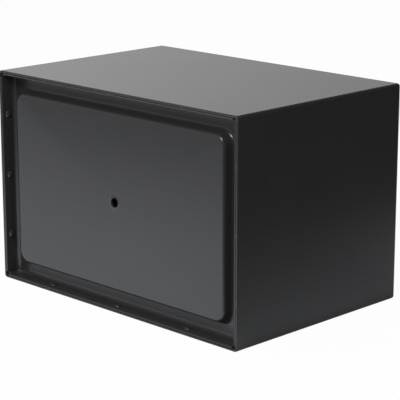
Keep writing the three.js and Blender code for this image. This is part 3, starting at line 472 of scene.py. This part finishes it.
def cell_jacket():
    """A plain cell jacket, lighter from a line above its middle upwards, with bare steel ends."""
    low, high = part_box("battery_1")
    middle, half = (low.z + high.z) / 2, (high.z - low.z) / 2
    f = Finish("cell_jacket")
    height = f.axis(f.place((0, 0, middle)), "Z")
    band = f.ease(height, half * JACKET_BAND[0], half * JACKET_BAND[1])
    steel = f.ease(height.math("ABSOLUTE"), half * JACKET_END[0], half * JACKET_END[1])
    scuffs = f.noise(220, 4, 0.7)
    tone = f.mix(band, (0.03, 0.072, 0.14, 1), (0.30, 0.31, 0.33, 1))
    tone = f.mix(f.ease(scuffs, 0.6, 0.8) * 0.3, tone, grey(0.2))
    tone = f.mix(steel, tone, grey(0.5))
    values = {
        "Base Color": tone,
        "Metallic": steel,
        "Roughness": 0.3 + 0.12 * scuffs,
        "Normal": f.bump(scuffs, 0.02 * MM, 0.4),
    }
    return f.surface(values)


def printed_white():
    """White pad print: thin, so the plastic under it greys it, and a little worn."""
    f = Finish("printed_white")
    worn = f.ease(f.noise(900, 4, 0.7), 0.58, 0.72)
    values = {
        "Base Color": f.mix(worn * 0.5, grey(0.74), grey(0.42)),
        "Roughness": 0.5 + 0.15 * worn,
        "Normal": f.bump(worn, 0.02 * MM, 0.4),
    }
    return f.surface(values)


PRINT = printed_white()
FINISHES = {
    "powder_coat": powder_coat(),
    "zinc_steel": zinc_sheet(),
    "turned_steel": turned_metal("turned_steel", STEEL_DARK, STEEL_BRIGHT, 0.22, (1, 0.03, 0.03)),
    "chrome_plate": chrome_plate(),
    "turned_brass": turned_metal("turned_brass", BRASS_DARK, BRASS_BRIGHT, 0.24, (0.03, 1, 0.03)),
    "copper_winding": copper_winding(),
    "black_plastic": moulding("black_plastic", grey(0.009), grey(0.014), 0.42, 0.45 * MM),
    "key_plastic": moulding("key_plastic", grey(0.058), (0.082, 0.085, 0.092, 1), 0.4, 0.4 * MM),
    "red_plastic": red_lens(),
    "black_rubber": moulding("black_rubber", grey(0.007), grey(0.012), 0.75, 0.7 * MM),
    "grey_felt": felt(),
    "green_board": circuit_board(),
    "cell_jacket": cell_jacket(),
}
SLOT_OF = {row["node"]: row["material_slot"] for row in frame["record"]["subparts"]}
for node_name, node_object in frame["nodes"].items():
    node_object.data.materials.clear()
    node_object.data.materials.append(FINISHES[SLOT_OF[node_name]])


# Pieces


def add_object(name, data):
    """Puts a mesh, text, lamp or camera in the scene."""
    thing = bpy.data.objects.new(name, data)
    bpy.context.scene.collection.objects.link(thing)
    return thing


def attach(piece, node, finish=None):
    """Gives a piece the body of a CAD node, and the finish of that node's slot or its own."""
    slot = SLOT_OF[node]
    piece.data.materials.clear()
    piece.data.materials.append(finish or FINISHES[slot])
    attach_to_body(piece, frame["nodes"][node]["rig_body"])


def shade_smooth(mesh):
    mesh.polygons.foreach_set("use_smooth", np.ones(len(mesh.polygons), bool))


def loose_piece(name, points, faces, node, finish=None):
    """A mesh from its points and faces, which rides on a CAD node's body."""
    mesh = bpy.data.meshes.new(name)
    mesh.from_pydata(points.tolist(), [], faces)
    mesh.update()
    piece = add_object(name, mesh)
    attach(piece, node, finish)
    return piece


def make_piece(name, points, faces, node, sharp=SHARP_EDGE):
    """A mesh that stands for a CAD node, shaded smooth up to the sharp angle."""
    piece = loose_piece(name, points, faces, node)
    shade_smooth(piece.data)
    piece.data.set_sharp_from_angle(angle=sharp)
    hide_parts(node)
    return piece


def merge_flats(mesh):
    """Joins a mesh's points that coincide, and its triangles that lie in one plane."""
    shape = bmesh.new()
    shape.from_mesh(mesh)
    bmesh.ops.remove_doubles(shape, verts=shape.verts, dist=MERGED)
    bmesh.ops.dissolve_limit(shape, angle_limit=ONE_PLANE, verts=shape.verts, edges=shape.edges)
    shape.to_mesh(mesh)
    shape.free()


# Surfaces from whole arrays


def loft_faces(rings, count, closed):
    """Quads between rings of count points, which face out where each ring turns anticlockwise round
    the loft's way forward. A closed loft's last ring meets its first; otherwise a many-sided face
    closes each end."""
    here = np.arange(rings if closed else rings - 1)[:, None] * count
    there = (here + count) % (rings * count)
    i = np.arange(count)[None, :]
    j = (i + 1) % count
    quads = np.stack([here + i, here + j, there + j, there + i], -1).reshape(-1, 4)
    faces = quads.tolist()
    if not closed:
        faces.append(list(range(count))[::-1])
        faces.append(list(range((rings - 1) * count, rings * count)))
    return faces


def loft_mesh(*lofts, closed=False):
    """The points and faces of one mesh from one loft or more, each given as an array of rings."""
    faces, first = [], 0
    for rings in lofts:
        faces += [[first + i for i in face] for face in loft_faces(*rings.shape[:2], closed)]
        first += rings.shape[0] * rings.shape[1]
    return np.concatenate([rings.reshape(-1, 3) for rings in lofts]), faces


def rounded_outlines(half_x, half_z, radius, guards=(FLAT_GUARD,)):
    """Rounded rectangles, one row for each size. Each corner is a quarter arc, with guard points on
    the straights either side of it, which keep the long straights flat under smooth shading."""
    guards = np.asarray(guards, float)
    turn = np.linspace(0, QUARTER, CORNER_STEPS + 1)
    angle = np.concatenate([np.zeros(len(guards)), turn, np.full(len(guards), QUARTER)])
    shift = np.concatenate([-guards[::-1], np.zeros(len(turn)), guards])
    angle = (angle[None, :] + QUARTER * np.arange(4)[:, None]).ravel()
    shift = np.tile(shift, 4)
    per_corner = len(angle) // 4
    side_x = np.repeat([1, -1, -1, 1], per_corner)
    side_z = np.repeat([1, 1, -1, -1], per_corner)
    sizes = (half_x, half_z, radius)
    half_x, half_z, radius = (np.asarray(size, float).reshape(-1, 1) for size in sizes)
    x = side_x * (half_x - radius) + radius * np.cos(angle) - shift * np.sin(angle)
    z = side_z * (half_z - radius) + radius * np.sin(angle) + shift * np.cos(angle)
    return x, z


def arc(centre, radius, start, end, steps=FOLD_STEPS):
    """Points on an arc in a section's plane, as rows of inset and y, from one angle to another."""
    angle = np.linspace(start, end, steps + 1)
    return np.stack([centre[0] + radius * np.cos(angle), centre[1] + radius * np.sin(angle)], -1)


# The housing's shell and rear panel


def housing_rings(section, guards=(FLAT_GUARD,)):
    """Rings round the housing's outline from a section's rows: inset, depth y and corner radius."""
    inset, y, radius = np.asarray(section, float).T
    half_x, half_z = SHELL_SIZE.x / 2 - inset, SHELL_SIZE.z / 2 - inset
    x, z = rounded_outlines(half_x, half_z, radius, guards)
    return np.stack([x, np.repeat(y[:, None], x.shape[1], 1), z + SHELL_MIDDLE.z], -1)


def housing_section():
    """The folded sheet's section: from the rear rim along the outside, round the mouth's fold to
    the flange's edge, and back along the inside. The corner radius is the bend's, less the inset,
    and grows again along the flange to the mouth's corner."""
    rear, front = shell_high.y, shell_low.y
    inner_bend = SHELL_BEND - SHELL_SHEET
    middle = (SHELL_BEND, front + SHELL_BEND)
    edge = CUT_EDGE
    rows = [
        arc((edge, rear - edge), edge, QUARTER, 2 * QUARTER, CUT_STEPS),
        [(0, rear - edge - FLAT_GUARD), (0, front + SHELL_BEND + FLAT_GUARD)],
        arc(middle, SHELL_BEND, 2 * QUARTER, 3 * QUARTER),
        [(SHELL_BEND + FLAT_GUARD, front), (RETURN_FLANGE - edge - FLAT_GUARD, front)],
        arc((RETURN_FLANGE - edge, front + edge), edge, -QUARTER, 0, CUT_STEPS),
        arc((RETURN_FLANGE - edge, front + SHELL_SHEET - edge), edge, 0, QUARTER, CUT_STEPS),
        [(RETURN_FLANGE - edge - FLAT_GUARD, front + SHELL_SHEET)],
        [(SHELL_BEND + FLAT_GUARD, front + SHELL_SHEET)],
        arc(middle, inner_bend, 3 * QUARTER, 2 * QUARTER),
        [(SHELL_SHEET, front + SHELL_BEND + FLAT_GUARD), (SHELL_SHEET, rear - edge - FLAT_GUARD)],
        arc((SHELL_SHEET - edge, rear - edge), edge, 0, QUARTER, CUT_STEPS),
    ]
    rows = np.concatenate([np.asarray(row, float) for row in rows])
    inset = rows[:, 0]
    on_flange = rows[:, 1] < front + SHELL_BEND - inner_bend / 2
    along = np.clip((inset - SHELL_BEND) / (RETURN_FLANGE - SHELL_BEND), 0, 1)
    corner = np.maximum(SHELL_BEND - inset, FOLD_CORNER)
    flange_corner = FOLD_CORNER + along * (MOUTH_CORNER - FOLD_CORNER)
    corner = np.where(on_flange & (along > 0), flange_corner, corner)
    return np.column_stack([rows, corner])


def folded_shell():
    """The folded shell: rings of its section round the housing's outline."""
    rings = housing_rings(housing_section())
    make_piece("folded_shell", *loft_mesh(rings, closed=True), "housing_shell")


def panel_section(offset):
    """The pressed panel's section, set back by offset: the lip's fillet, the foot of the raised
    middle, and that one's soft edge. The flats between them are the straights from arc to arc."""
    floor = shell_high.y - RECESS_DEPTH
    edge_middle = (
        REAR_FLANGE + EMBOSS_DRAFT + EMBOSS_EDGE,
        floor + EMBOSS_HEIGHT - EMBOSS_EDGE,
    )
    foot_middle = (REAR_FLANGE - EMBOSS_FOOT, floor + EMBOSS_FOOT)
    lip = arc((LIP_FILLET, floor + LIP_FILLET), LIP_FILLET + offset, 2 * QUARTER, 3 * QUARTER)
    foot = arc(foot_middle, EMBOSS_FOOT + offset, -QUARTER, 0)
    crown = arc(edge_middle, EMBOSS_EDGE - offset, 2 * QUARTER, QUARTER, 2 * FOLD_STEPS)
    corner = np.concatenate(
        [
            LIP_CORNER + offset + (lip[:, 0] - lip[0, 0]),
            EMBOSS_CORNER - offset + (REAR_FLANGE + offset - foot[:, 0]),
            EMBOSS_CORNER - EMBOSS_DRAFT - offset - (crown[:, 0] - crown[0, 0]),
        ]
    )
    return np.column_stack([np.concatenate([lip, foot, crown]), corner])


def panel_rings(offset, edge_side):
    """The rings of one of the panel's two faces, set back by offset: the quarter round of the lip's
    edge, two levels that keep the lip flat below its notches, and the section. An edge_side of 1
    rounds the lip from the recess's side, and -1 from the shell's."""
    section = panel_section(offset)
    turn = np.linspace(QUARTER, 0, LIP_STEPS)
    inset = -offset - edge_side * LIP_END * (1 - np.cos(turn))
    depth = shell_high.y - LIP_END * (1 - np.sin(turn))
    edge = np.column_stack([inset, depth, LIP_CORNER - inset])
    levels = (shell_high.y - LIP_NOTCH - 2 * LIP_END, section[0, 1] + FLAT_GUARD)
    flat = [(-offset, level, LIP_CORNER + offset) for level in levels]
    rows = np.concatenate([edge, flat, section])
    rows[:, 0] += SHELL_SHEET + PANEL_SHEET
    return housing_rings(rows, (FLAT_GUARD, *NOTCH_SIDE))


def pressed_panel():
    """The panel: one closed skin of rings, from the burr of its hole out over the raised middle and
    the recess to the lip's edge, and back behind them. It is flat from the last rounded rectangle
    to the hole's first circle. The lip's edge drops at its corners, where it is notched."""
    face, back = panel_rings(0.0, 1), panel_rings(PANEL_SHEET, -1)
    count = face.shape[1]
    per_corner = count // 4
    index = np.arange(count) % per_corner
    in_notch = (index > 0) & (index < per_corner - 1)
    for skin in (face, back):
        skin[:LIP_STEPS, in_notch, 1] -= LIP_NOTCH
    hole = hole_rings(count, shell_high.y - RECESS_DEPTH + EMBOSS_HEIGHT)
    last = circle_ring(count, ANCHOR_HOLE / 2 + ANCHOR_BURR, back[-1, 0, 1])
    rings = np.concatenate([hole[::-1], face[::-1], back, last[None]])
    make_piece("pressed_panel", *loft_mesh(rings, closed=True), "rear_panel")


def circle_ring(count, radius, y):
    """A circle in the plane at y, of count points, that starts where a rounded outline starts."""
    angle = (np.arange(count) + 0.5) / count * 2 * math.pi
    x, z = radius * np.cos(angle), radius * np.sin(angle)
    return np.stack([x, np.full(count, y), z + SHELL_MIDDLE.z], -1)


def hole_rings(count, level):
    """Circles of the anchor hole: the flat round it, up over its burr, and down its wall."""
    radius = ANCHOR_HOLE / 2
    profile = [
        (radius + 2 * ANCHOR_BURR, 0),
        (radius + ANCHOR_BURR, 0),
        (radius + 0.6 * ANCHOR_BURR, 0.8 * ANCHOR_BURR_HEIGHT),
        (radius + 0.25 * ANCHOR_BURR, ANCHOR_BURR_HEIGHT),
        (radius, 0.4 * ANCHOR_BURR_HEIGHT),
        (radius, -PANEL_SHEET),
    ]
    return np.stack([circle_ring(count, r, level + rise) for r, rise in profile])


def bead(centre, along, across, size):
    """A weld bead: rings of an ellipse, whose height at the share r of its reach is (1 - r^2) to
    the power of its roundness, over a sunken foot. Cosine ripples bow across it, as the puddle
    froze."""
    out = np.cross(along, across)
    r = np.linspace(1, BEAD_TOP, BEAD_RINGS)[:, None]
    angle = np.linspace(0, 2 * math.pi, BEAD_SPOKES, endpoint=False)[None, :]
    u, v = size[0] * r * np.cos(angle), size[1] * r * np.sin(angle)
    bowed = u - RIPPLE_BOW * v**2 / size[1]
    ripple = 1 + RIPPLE_SHARE * np.cos(2 * math.pi * bowed / BEAD_RIPPLE)
    height = size[2] * (1 - r**2) ** BEAD_ROUNDNESS * ripple - BEAD_SUNK
    return centre + u[..., None] * along + v[..., None] * across + height[..., None] * out


def weld_beads():
    """Three pairs of beads on each wall: one on the lip's face, and one in the lip's seam."""
    lip_inset = SHELL_SHEET + PANEL_SHEET
    seam_y = shell_high.y + BEAD_SUNK - (1 + RIPPLE_SHARE) * SEAM_BEAD[2]
    to_rear = np.array([0.0, 1.0, 0.0])
    walls = []
    for side in (-1, 1):
        walls.append(((side, 0, 0), (0, 0, side), SHELL_SIZE.x / 2, SHELL_SIZE.z))
        walls.append(((0, 0, side), (-side, 0, 0), SHELL_SIZE.z / 2, SHELL_SIZE.x))
    beads = []
    for outward, along, reach, length in walls:
        outward, along = np.array(outward, float), np.array(along, float)
        for share in WELD_SHARES:
            middle = np.array([0, 0, SHELL_MIDDLE.z]) + along * (share - 0.5) * length
            on_lip = middle + outward * (reach - lip_inset)
            on_lip[1] = shell_high.y - LIP_BEAD_DEPTH
            on_seam = middle + outward * (reach - SHELL_SHEET)
            on_seam[1] = seam_y
            beads.append(bead(on_lip, along, to_rear, LIP_BEAD))
            beads.append(bead(on_seam, along, outward, SEAM_BEAD))
    piece = loose_piece("weld_beads", *loft_mesh(*beads), "rear_panel")
    shade_smooth(piece.data)


# The knob


def knob_place():
    """The knob's lowest and highest corner, and its axis in x and z."""
    low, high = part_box("knob")
    return low, high, (low.x + high.x) / 2, (low.z + high.z) / 2


def turned_rings(profile, axis_x, axis_z):
    """Circles round a line along Y, one for each row of radius and y."""
    radius, y = np.asarray(profile, float).T[:, :, None]
    angle = np.arange(KNOB_SPOKES) / KNOB_SPOKES * 2 * math.pi
    x, z = axis_x + radius * np.cos(angle), axis_z + radius * np.sin(angle)
    return np.stack([x, np.broadcast_to(y, x.shape), z], -1)


def bar_rings(rows, axis_x, axis_z):
    """Rounded outlines round a line along Y, one for each row of half width, half length, corner
    radius and y."""
    half_x, half_z, radius, y = np.asarray(rows, float).T
    x, z = rounded_outlines(half_x, half_z, radius, (BAR_GUARD,))
    return np.stack([x + axis_x, np.repeat(y[:, None], x.shape[1], 1), z + axis_z], -1)


def knob_body():
    """A turned base with a rolled edge and a shallow dish, and a bar grip. At the share t of its
    height the grip's half width is less by the waist times sin^2(pi t), and more by the flare times
    (1 - t)^6. Its end is rounded over a quarter circle and crowned by a parabola."""
    low, high, axis_x, axis_z = knob_place()
    radius, back = (high.x - low.x) / 2, high.y
    shoulder = back - KNOB_BASE
    turn = np.linspace(0, QUARTER, FOLD_STEPS + 1)
    foot = [(radius * KNOB_HUB, back), (radius - KNOB_FOOT, back), (radius, back - KNOB_FOOT)]
    rim = np.stack(
        [radius - KNOB_EDGE * (1 - np.cos(turn)), shoulder + KNOB_EDGE * (1 - np.sin(turn))], -1
    )
    dish = [
        (radius - DISH_EDGE[0], shoulder),
        (radius - DISH_EDGE[1], shoulder + KNOB_DISH * 2 / 3),
        (radius / 2, shoulder + KNOB_DISH),
        (radius * KNOB_HUB, shoulder + KNOB_DISH),
    ]
    base = turned_rings(np.concatenate([foot, rim, dish]), axis_x, axis_z)

    t = np.linspace(0, 1, GRIP_ROWS)
    half_x = KNOB_GRIP / 2 - KNOB_WAIST * np.sin(t * math.pi) ** 2 + KNOB_FLARE * (1 - t) ** 6
    half_z = np.full(GRIP_ROWS, radius - GRIP_SETBACK)
    start, end = shoulder + GRIP_SUNK, low.y + POINTER_RAISED + KNOB_CROWN + KNOB_EDGE
    walls = np.stack([half_x, half_z, half_x * GRIP_ROUND, start + t * (end - start)], -1)
    inset = KNOB_EDGE * (1 - np.cos(turn[1:]))
    end_x, end_z = half_x[-1] - inset, half_z[-1] - inset
    edge = np.stack([end_x, end_z, end_x * GRIP_ROUND, end - KNOB_EDGE * np.sin(turn[1:])], -1)
    crown_x, crown_z = end_x[-1] * CROWN_SHARES, end_z[-1] * CROWN_SHARES
    crown_y = end - KNOB_EDGE - KNOB_CROWN * (1 - CROWN_SHARES**2)
    crown = np.stack([crown_x, crown_z, crown_x * CROWN_ROUND, crown_y], -1)
    grip = bar_rings(np.concatenate([walls, edge, crown]), axis_x, axis_z)
    make_piece("knob_body", *loft_mesh(base, grip), "knob")


def knob_pointer():
    """The painted line on the grip's end, from the middle towards the top: a thin rounded bar that
    narrows slightly at its face."""
    low, high, axis_x, axis_z = knob_place()
    middle = axis_z + (high.z - low.z) / 2 - POINTER_SETBACK - POINTER_LENGTH / 2
    half_x, half_z = POINTER_WIDTH / 2, POINTER_LENGTH / 2
    rows = [
        (half_x, half_z, half_x * POINTER_ROUND, low.y + KNOB_CROWN),
        (half_x, half_z, half_x * POINTER_ROUND, low.y + POINTER_RAISED / 2),
        (half_x * POINTER_FACE[0], half_z * POINTER_FACE[1], half_x * POINTER_FACE[2], low.y),
    ]
    rings = bar_rings(rows, axis_x, middle)
    loose_piece("knob_pointer", *loft_mesh(rings), "knob", PRINT)


# The keys' figures


def key_figure(node, figure):
    """A printed figure in the middle of a key's face, as a very thin solid."""
    low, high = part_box(node)
    curve = bpy.data.curves.new(node + "_outline", "FONT")
    curve.body, curve.size, curve.extrude = figure, LEGEND_HEIGHT, LEGEND_RAISED
    letter = add_object(node + "_outline", curve)
    bpy.context.view_layer.update()
    mesh = bpy.data.meshes.new_from_object(letter)
    bpy.data.objects.remove(letter)
    mesh.name = node + "_figure"
    flat = np.empty(len(mesh.vertices) * 3)
    mesh.vertices.foreach_get("co", flat)
    flat = flat.reshape(-1, 3)
    flat -= (flat.min(0) + flat.max(0)) / 2
    middle = (low + high) / 2
    points = np.stack([flat[:, 0] + middle.x, low.y - flat[:, 2], flat[:, 1] + middle.z], -1)
    mesh.vertices.foreach_set("co", points.ravel())
    merge_flats(mesh)
    mesh.update()
    attach(add_object(mesh.name, mesh), node, PRINT)


# The felt


def felt_mat():
    """Felt laid in the tray: rings of its outline, from the foot up its wall, over a quarter circle
    and in to the middle. Its top sinks by a share of the wave's height, 1/2 + w/3, where w is
    sin(52 x) sin(61 y + 1) + sin(117 x + 2) sin(97 y) / 2."""
    low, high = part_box("drawer_mat")
    half_x, half_y = (high.x - low.x) / 2, (high.y - low.y) / 2
    turn = np.linspace(0, QUARTER, FELT_ARC_STEPS + 1)[1:]
    wall = np.linspace(low.z + FELT_FOOT, high.z - FELT_EDGE, FELT_WALL_ROWS)
    share = np.linspace(1, FELT_MIDDLE, FELT_TOP_ROWS)[1:]
    inset = [
        [FELT_EDGE],
        np.zeros(len(wall)),
        FELT_EDGE * (1 - np.cos(turn)),
        FELT_EDGE + (half_y - FELT_EDGE) * (1 - share),
    ]
    z = [
        [low.z],
        wall,
        high.z - FELT_EDGE * (1 - np.sin(turn)),
        np.full(len(share), high.z),
    ]
    inset, z = np.concatenate(inset), np.concatenate(z)
    corner = np.maximum(FELT_CORNER - inset, FELT_LEAST_CORNER)
    x, y = rounded_outlines(half_x - inset, half_y - inset, corner)
    x, y = x + (low.x + high.x) / 2, y + (low.y + high.y) / 2
    wave = np.sin(x * 52) * np.sin(y * 61 + 1) + 0.5 * np.sin(x * 117 + 2) * np.sin(y * 97)
    top = (inset[:, None] >= FELT_EDGE) & (z[:, None] > low.z)
    height = np.repeat(z[:, None], x.shape[1], 1) - top * FELT_WAVE * (0.5 + wave / 3)
    rings = np.stack([x, y, height], -1)
    mat = make_piece("felt_mat", *loft_mesh(rings), "drawer_mat", FELT_SHARP_EDGE)


# Edges rounded over on copies of the CAD's nodes


def softened(node, width):
    """A merged copy of a CAD node, whose edges past the eased angle are rounded to that width."""
    source = frame["nodes"][node]
    mesh = source.data.copy()
    mesh.transform(source.matrix_world)
    mesh.name = node + "_eased"
    merge_flats(mesh)
    shade_smooth(mesh)
    piece = add_object(mesh.name, mesh)
    bevel = piece.modifiers.new("eased", "BEVEL")
    bevel.width, bevel.segments = width, EASED_SEGMENTS
    bevel.limit_method, bevel.angle_limit = "ANGLE", EASED_ANGLE
    piece.modifiers.new("welded", "WELD").merge_threshold = MERGED
    piece.modifiers.new("flats", "WEIGHTED_NORMAL")
    attach(piece, node)
    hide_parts(node)


folded_shell()
pressed_panel()
weld_beads()
knob_body()
knob_pointer()
felt_mat()
for key, figure in KEY_FIGURES.items():
    key_figure(key, figure)
for node, slot in SLOT_OF.items():
    if node not in ("housing_shell", "rear_panel", "knob", "drawer_mat"):
        softened(node, EASED[slot])


# Camera, floor and light

CAMERA_AZIMUTH = math.radians(224.94)
CAMERA_ELEVATION = math.radians(14.36)
CAMERA_LENS = 147.8
CAMERA_SENSOR = 36.0
CAMERA_AWAY = 1.530
CAMERA_RIGHT = 0.0041
CAMERA_UP = -0.0154

FLOOR_RADIUS = 2.5
FLOOR_SIDES = 96
FLOOR_DROP = 0.5 * MM
FLOOR_PAINT = 0.6
FLOOR_WHITE = 0.97
COOL_WHITE = (0.95, 0.97, 1.01, 1)

# What mirrors show: dark towards -X and lit towards +X. A step is where it starts and ends, and a
# fall has its loss as well.
DARK_SIDE, LIT_SIDE = 0.03, 1.04

# On the floor, in metres: a step along x for each of three strips, and the strips' borders in y.
# These are painted light and shade in the floor's glow that mirrors show.
BESIDE_STEP = (-0.5, 0.27)
BEHIND_STEP = (-0.28, -0.12)
BEHIND_PEAK_STEP = (0.0, 0.5)
BEHIND_PEAKS = (1.07, 0.91)
BEFORE_STEP = (-0.42, -0.08)
BEHIND_BORDER = (0.06, 0.14)
BEFORE_BORDER = (-0.12, -0.35)
FAR_FALL = (0.25, 0.85, 0.8)
# A painted contact shadow: the floor's glow in mirrors falls by half close to the safe's foot
PAINTED_CONTACT_SHADOW = (24 * MM, 0.0, 0.5)

# In the world, in the parts of a direction
WORLD_STEP = (-0.1, 0.45)
OVERHEAD_FALL = (0.3, 0.65, 0.86)
REAR_FALL = (-0.2, 0.5, 0.6)
FRONT_FALL = (-0.5, -0.9, 0.5)
REAR_FILL_STEP = (0.0, 0.8)
FRONT_FILL_STEP = (-0.3, -0.95)
LEAST_FILL, END_FILL = 0.08, 0.42

# Lamps: place, width, height, power, and whether their image shows in gloss
SOFTBOXES = {
    "strip_softbox": ((-0.47, 1.29, 1.46), 0.36, 0.7, 15, True),
    "key_softbox": ((-0.72, 1.3, 1.35), 0.75, 0.75, 14, False),
    "overhead_softbox": ((0.2, 0.2, 1.9), 1.4, 1.4, 12, False),
    "left_softbox": ((1.3, 1.5, 0.9), 1.2, 1.2, 9, False),
}


def add_camera():
    """The camera at the photograph's angle: back, right and up are its own axes."""
    a, e = CAMERA_AZIMUTH, CAMERA_ELEVATION
    back = Vector((math.sin(a) * math.cos(e), -math.cos(a) * math.cos(e), math.sin(e)))
    right = Vector((math.cos(a), math.sin(a), 0))
    up = back.cross(right)
    data = bpy.data.cameras.new("camera")
    data.lens, data.sensor_width = CAMERA_LENS, CAMERA_SENSOR
    camera = add_object("camera", data)
    camera.matrix_world = Matrix((right, up, back)).transposed().to_4x4()
    camera.location = SHELL_MIDDLE + back * CAMERA_AWAY + right * CAMERA_RIGHT + up * CAMERA_UP
    bpy.context.scene.camera = camera


def ray_kinds(f):
    """Three signals, each 1 for one kind of ray: from the camera, off a mirror, through glass."""
    kinds = ("Camera", "Glossy", "Transmission")
    return [f.node("LightPath", output=f"Is {kind} Ray") for kind in kinds]


def floor_level(f):
    """How bright mirrors show the floor: light and shade painted into its glow. Three strips,
    behind the safe, beside it and before it, each go from dark to lit along x in a place of their
    own. The level falls far behind the safe, and close to its foot, as a painted shadow."""
    here = f.node("TexCoord", output="Object")
    x, y = f.axis(here, "X"), f.axis(here, "Y")
    behind = f.ease(x, *BEHIND_STEP) * between(*BEHIND_PEAKS, f.ease(x, *BEHIND_PEAK_STEP))
    share = between(f.ease(x, *BESIDE_STEP), behind, f.ease(y, *BEHIND_BORDER))
    share = between(share, f.ease(x, *BEFORE_STEP), f.ease(y, *BEFORE_BORDER))
    off_x = x.math("ABSOLUTE") - SHELL_SIZE.x / 2
    off_y = y.math("ABSOLUTE") - SHELL_SIZE.y / 2
    # Painted contact shadow: the glow halves at the safe's foot
    painted_contact_shadow = f.fall(off_x.math("MAXIMUM", off_y), *PAINTED_CONTACT_SHADOW)
    return between(DARK_SIDE, LIT_SIDE, share) * f.fall(y, *FAR_FALL) * painted_contact_shadow


def add_floor():
    """A round floor just under the safe. The camera sees it white with a trace of the safe's
    shadow, mirrors and glass show it glowing with painted light and shade, and to the rest it is a
    pale paint."""
    angle = np.linspace(0, 2 * math.pi, FLOOR_SIDES, endpoint=False)
    points = np.stack([FLOOR_RADIUS * np.cos(angle), FLOOR_RADIUS * np.sin(angle), 0 * angle], -1)
    mesh = bpy.data.meshes.new("floor")
    mesh.from_pydata(points.tolist(), [], [list(range(FLOOR_SIDES))])
    floor = add_object("floor", mesh)
    floor.location.z = -FLOOR_DROP
    f = Finish("pale_floor")
    camera, glossy, through = ray_kinds(f)
    paint = f.node("BsdfDiffuse", None, {"Color": grey(FLOOR_PAINT)})
    white = f.node("Emission", None, {"Color": grey(1.0), "Strength": 1.0})
    painted_mirror_glow = f.node("Emission", None, {"Color": COOL_WHITE, "Strength": floor_level(f)})
    shader = f.node("MixShader", None, {0: camera * FLOOR_WHITE, 1: paint, 2: white})
    shader = f.node("MixShader", None, {0: glossy + through, 1: shader, 2: painted_mirror_glow})
    f.node("OutputMaterial", None, {"Surface": shader})
    mesh.materials.append(f.owner)


def set_world():
    """White to the camera, and a soft fill from behind and before the safe to its surfaces. In
    mirrors and glass it is lit towards +X, and falls overhead, behind and before the safe."""
    world = bpy.data.worlds.new("studio")
    bpy.context.scene.world = world
    f = Finish("studio", world)
    camera, glossy, through = ray_kinds(f)
    direction = f.node("TexCoord", output="Generated")
    x, y, up = (f.axis(direction, name) for name in "XYZ")
    level = between(DARK_SIDE, LIT_SIDE, f.ease(x, *WORLD_STEP))
    level = level * f.fall(up, *OVERHEAD_FALL) * f.fall(y, *REAR_FALL) * f.fall(y, *FRONT_FALL)
    fill = LEAST_FILL + END_FILL * (f.ease(y, *REAR_FILL_STEP) + f.ease(y, *FRONT_FILL_STEP))
    seen = camera + (glossy + through) * level
    strength = seen + (1 - camera) * (1 - glossy) * (1 - through) * fill
    shader = f.node("Background", None, {"Color": grey(1.0), "Strength": strength})
    f.node("OutputWorld", None, {"Surface": shader})


def add_softbox(name, place, width, height, power, in_gloss):
    """An area lamp that faces the safe's middle. Out of gloss, it lights without a mirror image."""
    data = bpy.data.lights.new(name, "AREA")
    data.shape, data.energy = "RECTANGLE", power
    data.size, data.size_y = width, height
    lamp = add_object(name, data)
    place = Vector(place)
    lamp.matrix_world = (SHELL_MIDDLE - place).to_track_quat("-Z", "Y").to_matrix().to_4x4()
    lamp.location = place
    lamp.visible_glossy = in_gloss


add_camera()
add_floor()
set_world()
for lamp_name, lamp_row in SOFTBOXES.items():
    add_softbox(lamp_name, *lamp_row)

bpy.context.scene.view_settings.view_transform = "Standard"
